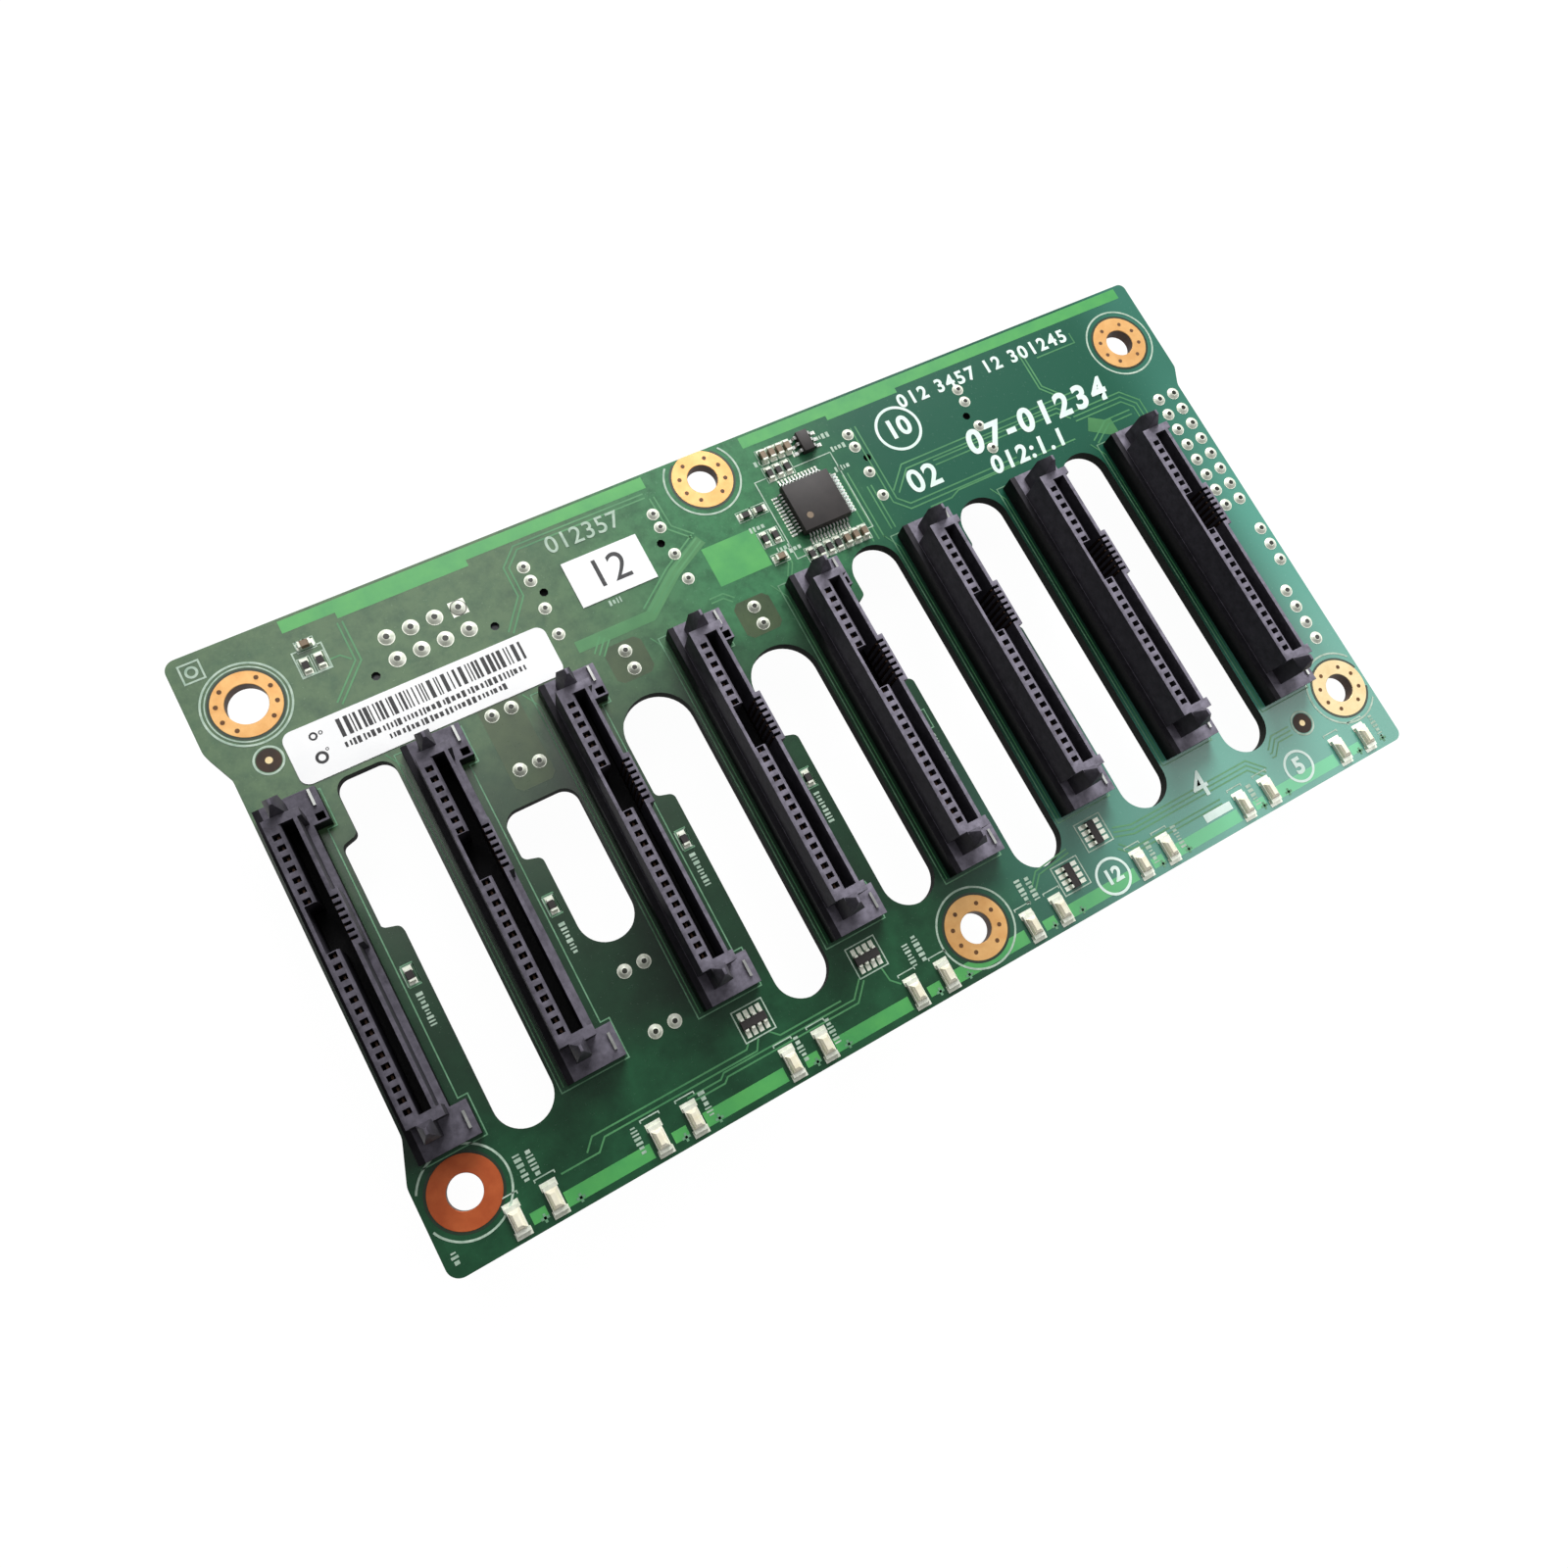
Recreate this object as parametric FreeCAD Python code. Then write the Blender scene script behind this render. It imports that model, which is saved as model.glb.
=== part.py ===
# Drive backplane board: eight drive receptacles stand in a row on a slotted circuit board,
# with status lights along the front edge, and the cable and power sockets on the back.
# Millimetres. Origin under the middle of the board, at the foot of the tall parts on its back.
# X runs along the row of bays, Y across the board towards the cables, +Z towards the drives.
# Soldered holes are full of solder, so the board is cut only where it is open.
import FreeCAD, Part
import math
import os

V = FreeCAD.Vector

# ---- driving dimensions -------------------------------------------------------------------
bay_count = 8
bay_pitch = 17.0              # from one drive to the next
left_margin = 3.95            # first contact of the first bay to the left edge
right_margin = 15.4           # first contact of the last bay to the right edge
rear_margin = 26.05           # line of first contacts to the rear edge
front_margin = 49.35
board_thick = 1.6
back_height = 9.0             # the cable sockets, the tallest parts under the board
signal_pitch = 1.27           # contact pitch of the drive receptacles
fine_pitch = 0.8              # contact pitch of the second port and of the cable sockets
header_pitch = 2.54

board_length = left_margin + (bay_count - 1) * bay_pitch + right_margin
board_width = rear_margin + front_margin
board_bottom = back_height
board_top = back_height + board_thick
half_length = board_length / 2
half_width = board_width / 2
contact_line_y = half_width - rear_margin
bay_x = [left_margin - half_length + bay_pitch * bay for bay in range(bay_count)]


def from_bay(number, right, rear):
    """Point measured from the first contact of a bay, the bays numbered from 1."""
    return bay_x[number - 1] + right, contact_line_y + rear


# ---- plain solids ---------------------------------------------------------------------------
def box(x0, x1, y0, y1, z0, z1):
    """Block between two corners."""
    return Part.makeBox(x1 - x0, y1 - y0, z1 - z0, V(x0, y0, z0))


def centred_box(x, y, size_x, size_y, z0, z1):
    """Block centred on (x, y)."""
    return box(x - size_x / 2, x + size_x / 2, y - size_y / 2, y + size_y / 2, z0, z1)


def face_of(points):
    """Flat face through the points, closed back to the first one."""
    return Part.Face(Part.makePolygon(points + points[:1]))


def ring_points(x, y, radius, sides, z):
    """Corners of a level regular polygon."""
    turn = 2 * math.pi / sides
    return [V(x + radius * math.cos(turn * n), y + radius * math.sin(turn * n), z) for n in range(sides)]


def frustum(low, high):
    """Solid between two level outlines that have the same number of corners."""
    count = len(low)
    faces = [face_of(low), face_of(high)]
    for n in range(count):
        m = (n + 1) % count
        faces.append(face_of([low[n], low[m], high[m], high[n]]))
    solid = Part.Solid(Part.Shell(faces))
    return solid if solid.Volume > 0 else solid.reversed()


def level_rectangle(x0, x1, y0, y1, z):
    return [V(x0, y0, z), V(x1, y0, z), V(x1, y1, z), V(x0, y1, z)]


def rounded_plate(corners, z0, z1):
    """Plate over an outline of (x, y, radius) corners, each rounded with a tangent arc."""
    points = [V(x, y, z0) for x, y, radius in corners]
    starts, mids, ends = [], [], []
    for n, (x, y, radius) in enumerate(corners):
        here = points[n]
        to_before = (points[n - 1] - here).normalize()
        to_after = (points[(n + 1) % len(points)] - here).normalize()
        half_angle = to_before.getAngle(to_after) / 2
        reach = radius / math.tan(half_angle)
        middle = (to_before + to_after).normalize() * (radius / math.sin(half_angle) - radius)
        starts.append(here + to_before * reach)
        mids.append(here + middle)
        ends.append(here + to_after * reach)
    edges = []
    for n in range(len(points)):
        edges.append(Part.Arc(starts[n], mids[n], ends[n]).toShape())
        edges.append(Part.makeLine(ends[n], starts[(n + 1) % len(points)]))
    return Part.Face(Part.Wire(edges)).extrude(V(0, 0, z1 - z0))


def export(name, shapes):
    """One STEP file per node; a node with several solids is a group of like pieces."""
    shape = shapes if isinstance(shapes, Part.Shape) else Part.makeCompound(shapes)
    shape.exportStep("parts/" + name + ".step")


# ---- screw holes and pegs -------------------------------------------------------------------
screw_radius = 2.0
wide_screw_radius = 2.45
screw_holes = [
    (from_bay(1, 2.5, 17.85), wide_screw_radius),
    (from_bay(4, 12.6, 22.35), screw_radius),
    (from_bay(8, 9.6, 17.8), screw_radius),
    (from_bay(1, 1.05, -41.7), screw_radius),
    (from_bay(4, 15.05, -43.75), screw_radius),
    (from_bay(8, 9.8, -39.6), screw_radius),
]

peg_radius = 0.55
peg_sides = 8
peg_recess = 0.6              # a peg ends this far under the top of the board

socket_middles = [from_bay(3, 12.6, 16.5), from_bay(6, 8.25, 16.5)]
socket_width = 18.0
socket_peg_reach = socket_width / 2 - 1.0
power_x, power_y = from_bay(2, 7.0, 17.35)
power_peg_reach = 7.45
power_peg_back = 2.4          # the header's pegs stand in front of its middle
socket_pegs = [[(x + side * socket_peg_reach, y) for side in (-1, 1)] for x, y in socket_middles]
power_pegs = [(power_x + side * power_peg_reach, power_y - power_peg_back) for side in (-1, 1)]


def peg(x, y, z0):
    """Locating peg that hangs in its hole in the board."""
    return frustum(ring_points(x, y, peg_radius, peg_sides, z0),
                   ring_points(x, y, peg_radius, peg_sides, board_top - peg_recess))


# ---- circuit board --------------------------------------------------------------------------
left_inset = 1.65             # the sides are set in between the corner lugs
right_inset = 1.2


def board_outline():
    left, right = -half_length, half_length
    front, rear = -half_width, half_width
    return [
        (left, rear, 1.4), (right, rear, 1.0),
        (right, rear - 14.7, 1.5), (right - right_inset, rear - 17.3, 1.5),
        (right - right_inset, front, 1.2), (left, front, 1.6),
        (left, front + 10.9, 2.5), (left + left_inset, front + 15.8, 2.5),
        (left + left_inset, rear - 15.8, 2.5), (left, rear - 11.8, 2.5),
    ]


slot_left = 7.1               # the slot's sides, right of the bay's first contact
slot_right = 14.0
slot_wide_left = 5.0          # beside the second port the slot comes closer to the receptacle
slot_wide_rear = -0.8
slot_wide_front = -12.5
step_rise = 0.3
step_radius = 0.8
full_rear, full_front = 5.4, -41.4
narrow_end = 0.497 * (slot_right - slot_left)
wide_end = 0.497 * (slot_right - slot_wide_left)


def air_slot(bay, rear, front, rear_radius, widening):
    """Outline of the air slot right of a bay; rear, front and widening lie along Y from the contact."""
    x, y = from_bay(bay, 0, 0)
    outline = [(x + slot_right, y + front, narrow_end), (x + slot_left, y + front, narrow_end),
               (x + slot_left, y + slot_wide_front - step_rise, step_radius),
               (x + slot_wide_left, y + slot_wide_front + step_rise, step_radius)]
    if widening is None:
        outline += [(x + slot_wide_left, y + rear, rear_radius)]
    else:
        outline += [(x + slot_wide_left, y + widening - step_rise, step_radius),
                    (x + slot_left, y + widening + step_rise, step_radius),
                    (x + slot_left, y + rear, rear_radius)]
    return outline + [(x + slot_right, y + rear, rear_radius)]


def air_slots():
    return [
        air_slot(1, full_rear, -39.1, 1.7, -1.6),
        air_slot(2, -6.45, -25.2, 1.9, None),
        air_slot(3, -0.5, full_front, wide_end, None),
        air_slot(4, -1.5, -37.9, wide_end, None),
    ] + [air_slot(bay, full_rear, full_front, narrow_end, slot_wide_rear) for bay in (5, 6, 7)]


def circuit_board():
    plate = rounded_plate(board_outline(), board_bottom, board_top)
    below, above = board_bottom - 1, board_top + 1
    cuts = [rounded_plate(outline, below, above) for outline in air_slots()]
    cuts += [Part.makeCylinder(radius, above - below, V(x, y, below)) for (x, y), radius in screw_holes]
    for x, y in power_pegs + socket_pegs[0] + socket_pegs[1]:
        cuts.append(frustum(ring_points(x, y, peg_radius, peg_sides, below),
                            ring_points(x, y, peg_radius, peg_sides, above)))
    return plate.cut(cuts)


# ---- drive receptacles ----------------------------------------------------------------------
# Measured from the first contact, with z from the face of the board.
signal_count = 7
power_count = 15
group_gap = 5                 # contact pitches between the signal and the power group
last_signal = -(signal_count - 1) * signal_pitch
first_power = last_signal - group_gap * signal_pitch
contact_rows = ([-signal_pitch * n for n in range(signal_count)]
                + [first_power - signal_pitch * n for n in range(power_count)])
last_contact = contact_rows[-1]
fine_middle = (last_signal + first_power) / 2
fine_rows = [fine_middle - fine_pitch * (n - 3) for n in range(7)]

shell_height = 7.35
base_height = 2.6
base_left, base_right = -1.7, 3.5
base_rear, base_front = 5.1, last_contact - 5.35
tower_left, tower_right = -0.9, 2.7
tower_rear, tower_front = 2.2, last_contact - 1.65
end_wall_right = 3.2
end_wall_thick = 1.2
slot_x0, slot_x1 = 0.85, 2.25
slot_chamfer = 0.25
slot_rear, slot_front = 1.2, last_contact - 0.85
slot_floor = 1.5
comb_right = 3.3
comb_half = 3.2
gap_left = -0.5               # the slot is wider between the two contact groups
gap_half = 2.75
flange_right = 5.35
flange_rear_length, flange_front_length = 4.2, 4.0
pocket_x0, pocket_x1 = -0.4, 0.45
pocket_width = 0.64
pocket_floor = 1.0
slit_x1 = 3.05
slit_width = 0.36
clip_x0, clip_x1 = 4.4, 4.7
clip_length = 2.0
clip_top = 2.9
clip_rows = (base_rear - 1.2, base_front + 2.0)
window_x0, window_x1 = 4.1, 5.1
window_y0, window_y1 = 1.15, 2.05
window_floor = 0.6
post_x0, post_x1 = 0.15, 1.85
post_length = 2.1
post_eave, post_tip = 7.2, 9.3
post_ridge_inset = 0.7


def guide_post(y0, y1):
    """End post with a steep hipped tip that leads the drive's plug in."""
    ridge = level_rectangle(post_x0 + post_ridge_inset, post_x1 - post_ridge_inset,
                            y0 + post_ridge_inset, y1 - post_ridge_inset, post_tip)
    tip = frustum(level_rectangle(post_x0, post_x1, y0, y1, post_eave), ridge)
    return box(post_x0, post_x1, y0, y1, 0, post_eave).fuse(tip)


def tongue_slot():
    """Long slot for the drive's tongue, its mouth bevelled on the contact side."""
    above = 1.0
    profile = [V(slot_x0, slot_front, slot_floor), V(slot_x1, slot_front, slot_floor),
               V(slot_x1, slot_front, shell_height + above),
               V(slot_x0 - slot_chamfer - above, slot_front, shell_height + above),
               V(slot_x0, slot_front, shell_height - slot_chamfer)]
    return face_of(profile).extrude(V(0, slot_rear - slot_front, 0))


def receptacle_shell():
    """Moulded housing: base with two flanges, slotted tower, fine comb and two guide posts."""
    base = box(base_left, base_right, base_front, base_rear, 0, base_height)
    solids = [
        box(tower_left, tower_right, tower_front, tower_rear, 0, shell_height),
        box(base_right, flange_right, base_rear - flange_rear_length, base_rear, 0, base_height),
        box(base_right, flange_right, base_front, base_front + flange_front_length, 0, base_height),
        box(tower_right, end_wall_right, slot_rear, tower_rear, 0, shell_height),
        box(post_x0, end_wall_right, slot_front - end_wall_thick, slot_front, 0, shell_height),
        box(tower_right, comb_right, fine_middle - comb_half, fine_middle + comb_half, 0, shell_height),
        guide_post(tower_rear, tower_rear + post_length),
        guide_post(tower_front - post_length, tower_front),
    ]
    top = shell_height + 1
    cuts = [tongue_slot(),
            box(gap_left, slot_x0, fine_middle - gap_half, fine_middle + gap_half, slot_floor, top),
            box(window_x0, window_x1, window_y0, window_y1, window_floor, top)]
    for y in contact_rows:
        cuts.append(centred_box((pocket_x0 + pocket_x1) / 2, y, pocket_x1 - pocket_x0, pocket_width,
                                pocket_floor, top))
    for y in fine_rows:
        cuts.append(box(slot_x1, slit_x1, y - slit_width / 2, y + slit_width / 2, slot_floor, top))
    for y in clip_rows:
        cuts.append(centred_box((clip_x0 + clip_x1) / 2, y, clip_x1 - clip_x0, clip_length, -1, top))
    return base.fuse(solids).cut(cuts).removeSplitter()


contact_x0, contact_x1 = -0.05, 0.2
contact_width = 0.5
contact_top = 6.6


def receptacle_contacts():
    """A sprung strip in each pocket, standing on the pocket's floor."""
    middle, thick = (contact_x0 + contact_x1) / 2, contact_x1 - contact_x0
    return [centred_box(middle, y, thick, contact_width, pocket_floor, contact_top)
            for y in contact_rows]


def hold_down_clips():
    """Plates through the flanges of every receptacle."""
    return [centred_box(x + (clip_x0 + clip_x1) / 2, contact_line_y + y, clip_x1 - clip_x0, clip_length,
                        board_top, board_top + clip_top) for x in bay_x for y in clip_rows]


# ---- status lights --------------------------------------------------------------------------
led_columns = (4.6, 8.95)
led_row = -46.9
led_width, led_length = 1.6, 3.2
led_base, led_top = 0.5, 1.1
lens_length = 2.0
lens_taper = 0.15


def status_light(x, y):
    """Flat base with a tapered lens over its middle."""
    half_w, half_l = led_width / 2, lens_length / 2
    low = level_rectangle(x - half_w, x + half_w, y - half_l, y + half_l, board_top + led_base)
    high = level_rectangle(x - half_w + lens_taper, x + half_w - lens_taper,
                           y - half_l + lens_taper, y + half_l - lens_taper, board_top + led_top)
    base = centred_box(x, y, led_width, led_length, board_top, board_top + led_base)
    return base.fuse(frustum(low, high))


# ---- chips ----------------------------------------------------------------------------------
controller_middle = from_bay(5, 7.25, 13.35)
controller_size = 7.0
controller_gap = 0.1
controller_top = 1.5
controller_draft = 0.12
lead_pitch = 0.5
lead_count = 12
lead_width = 0.22
lead_length = 1.1
lead_shoulder, lead_thick = 0.7, 0.15

regulator_middle = from_bay(5, 10.3, 21.6)
regulator_width, regulator_length = 1.6, 2.9
regulator_top = 1.1
regulator_pitch = 0.95


def square_at(middle, half, z):
    x, y = middle
    return level_rectangle(x - half, x + half, y - half, y + half, z)


def controller_body():
    """Square chip, widest at the level of its leads."""
    half = controller_size / 2
    z0, z1 = board_top + controller_gap, board_top + controller_top
    waist = (z0 + z1) / 2
    lower = frustum(square_at(controller_middle, half - controller_draft, z0),
                    square_at(controller_middle, half, waist))
    upper = frustum(square_at(controller_middle, half, waist),
                    square_at(controller_middle, half - controller_draft, z1))
    return lower.fuse(upper)


def lead(middle, reach, offset, width, side):
    """Sloping lead from the side of a chip down to the board; side counts quarter turns."""
    end = reach + lead_length
    profile = [V(reach, 0, lead_shoulder), V(end, 0, lead_thick), V(end, 0, 0),
               V(reach, 0, lead_shoulder - lead_thick)]
    bar = face_of(profile).extrude(V(0, width, 0))
    bar.translate(V(0, offset - width / 2, 0))
    bar.rotate(V(0, 0, 0), V(0, 0, 1), 90 * side)
    bar.translate(V(middle[0], middle[1], board_top))
    return bar


def chip_leads():
    """Leads on the four sides of the controller and on two sides of the regulator."""
    leads = []
    for side in range(4):
        for n in range(lead_count):
            offset = (n - (lead_count - 1) / 2) * lead_pitch
            leads.append(lead(controller_middle, controller_size / 2, offset, lead_width, side))
    for side in (0, 2):
        for n in (-1, 0, 1):
            offset = n * regulator_pitch
            leads.append(lead(regulator_middle, regulator_width / 2, offset, 2 * lead_width, side))
    return leads


def regulator_body():
    x, y = regulator_middle
    return centred_box(x, y, regulator_width, regulator_length, board_top, board_top + regulator_top)


array_length, array_depth, array_height = 3.2, 1.6, 0.5
# Middle of each resistor array, and whether it lies along X.
arrays = [(from_bay(3, 2.85, -40.6), True), (from_bay(4, 1.25, -40.5), True),
          (from_bay(5, 12.3, -43.9), False), (from_bay(6, 1.0, -40.6), False)]


def resistor_array(middle, along_x):
    size_x, size_y = (array_length, array_depth) if along_x else (array_depth, array_length)
    return centred_box(middle[0], middle[1], size_x, size_y, board_top, board_top + array_height)


chip_long, chip_short = 1.6, 0.8
resistor_height, ceramic_height = 0.45, 0.8


def chip_row(first, count, step_x, step_y, size_x, size_y, height):
    """Row of like chip parts from the first one on."""
    x, y = first
    return [centred_box(x + n * step_x, y + n * step_y, size_x, size_y, board_top, board_top + height)
            for n in range(count)]


def chip_resistors():
    """Chip resistors round the controller, by the left screw and beside four receptacles."""
    parts = chip_row(from_bay(5, 3.6, 7.3), 4, 1.3, 0, chip_short, chip_long, resistor_height)
    parts += chip_row(from_bay(4, 15.2, 15.6), 2, 2.0, 0, chip_long, chip_short, resistor_height)
    parts += chip_row(from_bay(4, 16.0, 11.6), 2, 1.5, 0, chip_short, chip_long, resistor_height)
    parts += chip_row(from_bay(1, 10.1, 19.3), 2, 1.7, 0, chip_short, chip_long, resistor_height)
    parts += chip_row(from_bay(5, 4.0, 19.5), 3, 1.3, 0, chip_short, chip_long, resistor_height)
    for bay in (1, 2, 3, 4):
        parts += chip_row(from_bay(bay, 5.6, -18.3), 1, 0, 0, chip_short, chip_long, resistor_height)
    return parts


def chip_capacitors():
    """Ceramic chip capacitors in the same groups."""
    parts = chip_row(from_bay(5, 8.8, 7.3), 3, 1.3, 0, chip_short, chip_long, ceramic_height)
    parts += chip_row(from_bay(5, 4.3, 22.0), 4, 1.2, 0, chip_short, chip_long, ceramic_height)
    parts += chip_row(from_bay(4, 16.6, 8.6), 1, 0, 0, chip_long, chip_short, ceramic_height)
    parts += chip_row(from_bay(1, 11.0, 21.8), 1, 0, 0, chip_long, chip_short, ceramic_height)
    return parts


# ---- labels ---------------------------------------------------------------------------------
label_thick = 0.1
label_corner = 1.2
long_label_size = (32.4, 6.7)
short_label_size = (10.2, 6.3)


def long_label():
    x, y = from_bay(2, 3.3, 9.45)
    dx, dy = long_label_size[0] / 2, long_label_size[1] / 2
    corners = [(x - dx, y + dy), (x + dx, y + dy), (x + dx, y - dy), (x - dx, y - dy)]
    return rounded_plate([(cx, cy, label_corner) for cx, cy in corners], board_top, board_top + label_thick)


def short_label():
    x, y = from_bay(3, 13.1, 15.8)
    return centred_box(x, y, short_label_size[0], short_label_size[1], board_top, board_top + label_thick)


# ---- cable sockets on the back --------------------------------------------------------------
socket_depth = 14.6
socket_rear = half_width - 1.0
socket_front = socket_rear - socket_depth
socket_wall = 0.3
tongue_thick = 1.3
tongue_inset = 1.6
insert_depth = 4.0
tongue_length = 7.5
bridge_width, bridge_drop = 1.3, 1.0
latch_reach, latch_back = 4.0, 4.5
latch_width, latch_depth = 2.6, 1.8


def socket_shell(middle):
    """Folded metal cage against the board, open at the rear edge, with two latch windows below."""
    x = middle[0]
    half = socket_width / 2
    cage = box(x - half, x + half, socket_front, socket_rear, 0, board_bottom)
    room = box(x - half + socket_wall, x + half - socket_wall, socket_front - 1, socket_rear + 1,
               socket_wall, board_bottom - socket_wall)
    seats = [centred_box(px, middle[1], bridge_width, bridge_width, board_bottom - 1, board_bottom + 1)
             for px in (x - socket_peg_reach, x + socket_peg_reach)]
    windows = [centred_box(px, socket_rear - latch_back, latch_width, latch_depth, -1, 1)
               for px in (x - latch_reach, x + latch_reach)]
    return cage.cut([room] + seats + windows)


def socket_insert(middle, pegs):
    """Moulded block at the closed end, its tongue towards the mouth, and arms that carry the pegs."""
    x = middle[0]
    half = socket_width / 2 - socket_wall
    low, high = (board_bottom - tongue_thick) / 2, (board_bottom + tongue_thick) / 2
    tongue_front = socket_front + insert_depth
    block = box(x - half, x + half, socket_front, socket_front + insert_depth,
                socket_wall, board_bottom - socket_wall)
    parts = [box(x - half + tongue_inset, x + half - tongue_inset,
                 tongue_front, tongue_front + tongue_length, low, high)]
    for px, py in pegs:
        parts.append(box(px - bridge_width / 2, px + bridge_width / 2, tongue_front, py,
                         board_bottom - socket_wall - bridge_drop, board_bottom - socket_wall))
        parts.append(centred_box(px, py, bridge_width, bridge_width,
                                 board_bottom - socket_wall - bridge_drop, board_bottom))
        parts.append(peg(px, py, board_bottom))
    return block.fuse(parts).removeSplitter()


# ---- power header on the back ---------------------------------------------------------------
power_pin_pitch = 3.0
power_columns, power_rows = 4, 2
pin_size = 0.64
power_pins = [(power_x + (column - (power_columns - 1) / 2) * power_pin_pitch,
               power_y + (row - (power_rows - 1) / 2) * power_pin_pitch)
              for column in range(power_columns) for row in range(power_rows)]
power_length, power_depth = 16.6, 8.6
power_height = 8.6
well_size = 2.4
well_floor = 2.0
power_pin_length = 5.2        # from the floor of its well
ramp_width, ramp_depth = 3.0, 1.0


def power_header():
    """Header with a well round each pin, a latch ramp at the front and two pegs."""
    z0, z1 = board_bottom - power_height, board_bottom
    body = centred_box(power_x, power_y, power_length, power_depth, z0, z1)
    ramp_y = power_y - (power_depth + ramp_depth) / 2
    ramp = centred_box(power_x, ramp_y, ramp_width, ramp_depth, z0 + 1, z0 + 3)
    pegs = [peg(x, y, z1) for x, y in power_pegs]
    wells = [centred_box(x, y, well_size, well_size, z0 - 1, z1 - well_floor) for x, y in power_pins]
    return body.fuse([ramp] + pegs).cut(wells).removeSplitter()


def pins(points, foot_depth, length):
    """Pins that stand out of their moulding, foot_depth under the board."""
    foot = board_bottom - foot_depth
    return [centred_box(x, y, pin_size, pin_size, foot - length, foot) for x, y in points]


# ---- capacitors and edge headers on the back ------------------------------------------------
capacitor_radius = 2.5
capacitor_height = 4.8
capacitor_leads = 2.45        # distance between the two leads
# Middle of each capacitor, and whether its leads stand in line with X.
capacitors = [(from_bay(2, 10.45, 4.9), True), (from_bay(2, 10.5, -2.4), True),
              (from_bay(3, 10.0, 4.4), False), (from_bay(4, 10.2, 2.9), False),
              (from_bay(2, 10.6, -28.8), True), (from_bay(2, 10.6, -36.4), True)]


def capacitor(middle):
    foot = V(middle[0], middle[1], board_bottom - capacitor_height)
    return Part.makeCylinder(capacitor_radius, capacitor_height, foot)


def pin_grid(middle, columns, rows):
    """Points of a header's pins round its middle."""
    x, y = middle
    return [(x + (column - (columns - 1) / 2) * header_pitch, y + (row - (rows - 1) / 2) * header_pitch)
            for column in range(columns) for row in range(rows)]


edge_headers = {
    "wide": pin_grid(from_bay(8, 11.3, -1.14), 2, 8),
    "short": pin_grid(from_bay(8, 12.85, -17.7), 1, 3),
    "middle": pin_grid(from_bay(8, 10.9, -28.35), 1, 4),
}
strip_margin = 1.25           # round the outer pins
strip_height = 2.5
edge_pin_length = 5.0


def edge_header(points):
    """Moulded strip round its pins."""
    xs, ys = [x for x, y in points], [y for x, y in points]
    return box(min(xs) - strip_margin, max(xs) + strip_margin, min(ys) - strip_margin, max(ys) + strip_margin,
               board_bottom - strip_height, board_bottom)


# ---- solder joints --------------------------------------------------------------------------
joint_sides = 5
joint_taper = 0.45
socket_leg_reach = socket_width / 2 - socket_wall / 2
socket_leg_rows = (3.95, 2.0, -1.95, -5.6)


def solder_joint(point, radius, height):
    """Small cone of solder over a hole."""
    x, y = point
    return frustum(ring_points(x, y, radius, joint_sides, board_top),
                   ring_points(x, y, radius * joint_taper, joint_sides, board_top + height))


def solder_joints():
    joints = [solder_joint(point, 0.95, 0.6) for point in power_pins]
    for x, y in socket_middles:
        for row in socket_leg_rows:
            joints += [solder_joint((x + side * socket_leg_reach, y + row), 0.75, 0.5) for side in (-1, 1)]
    for (x, y), along_x in capacitors:
        dx, dy = (capacitor_leads / 2, 0) if along_x else (0, capacitor_leads / 2)
        joints += [solder_joint((x + side * dx, y + side * dy), 0.8, 0.7) for side in (-1, 1)]
    for points in edge_headers.values():
        joints += [solder_joint(point, 0.85, 0.5) for point in points]
    return joints


def build():
    os.makedirs("parts", exist_ok=True)
    export("circuit_board", circuit_board())

    shell, contacts = receptacle_shell(), receptacle_contacts()
    for number, x in enumerate(bay_x, 1):
        seat = V(x, contact_line_y, board_top)
        export("drive_receptacle_%d" % number, shell.translated(seat))
        export("drive_contacts_%d" % number, [strip.translated(seat) for strip in contacts])
        export("status_lights_%d" % number,
               [status_light(*from_bay(number, column, led_row)) for column in led_columns])
    export("hold_down_clips", hold_down_clips())

    export("controller_chip", controller_body())
    export("regulator_chip", regulator_body())
    export("chip_leads", chip_leads())
    for number, (middle, along_x) in enumerate(arrays, 1):
        export("resistor_array_%d" % number, resistor_array(middle, along_x))
    export("chip_resistors", chip_resistors())
    export("chip_capacitors", chip_capacitors())
    export("long_label", long_label())
    export("short_label", short_label())
    export("solder_joints", solder_joints())

    for number, middle in enumerate(socket_middles, 1):
        export("cable_socket_shell_%d" % number, socket_shell(middle))
        export("cable_socket_insert_%d" % number, socket_insert(middle, socket_pegs[number - 1]))
    export("power_header", power_header())
    export("power_pins", pins(power_pins, well_floor, power_pin_length))
    for number, (middle, along_x) in enumerate(capacitors, 1):
        export("capacitor_%d" % number, capacitor(middle))
    for name, points in edge_headers.items():
        export("edge_header_" + name, edge_header(points))
        export("edge_pins_" + name, pins(points, strip_height, edge_pin_length))


build()
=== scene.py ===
# %% [markdown]
# A drive backplane board: the circuit board that eight small drives plug into inside a server.
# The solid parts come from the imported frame, and this lesson gives them their looks. It lays the
# print and copper on the board, rounds the moulded housings, builds the solder and the chips in
# finer detail, and ends with light, floor and camera.

# %% Load the frame
import math
import random

import bmesh
import bpy
from mathutils import Euler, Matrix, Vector
from mathutils.bvhtree import BVHTree


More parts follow.
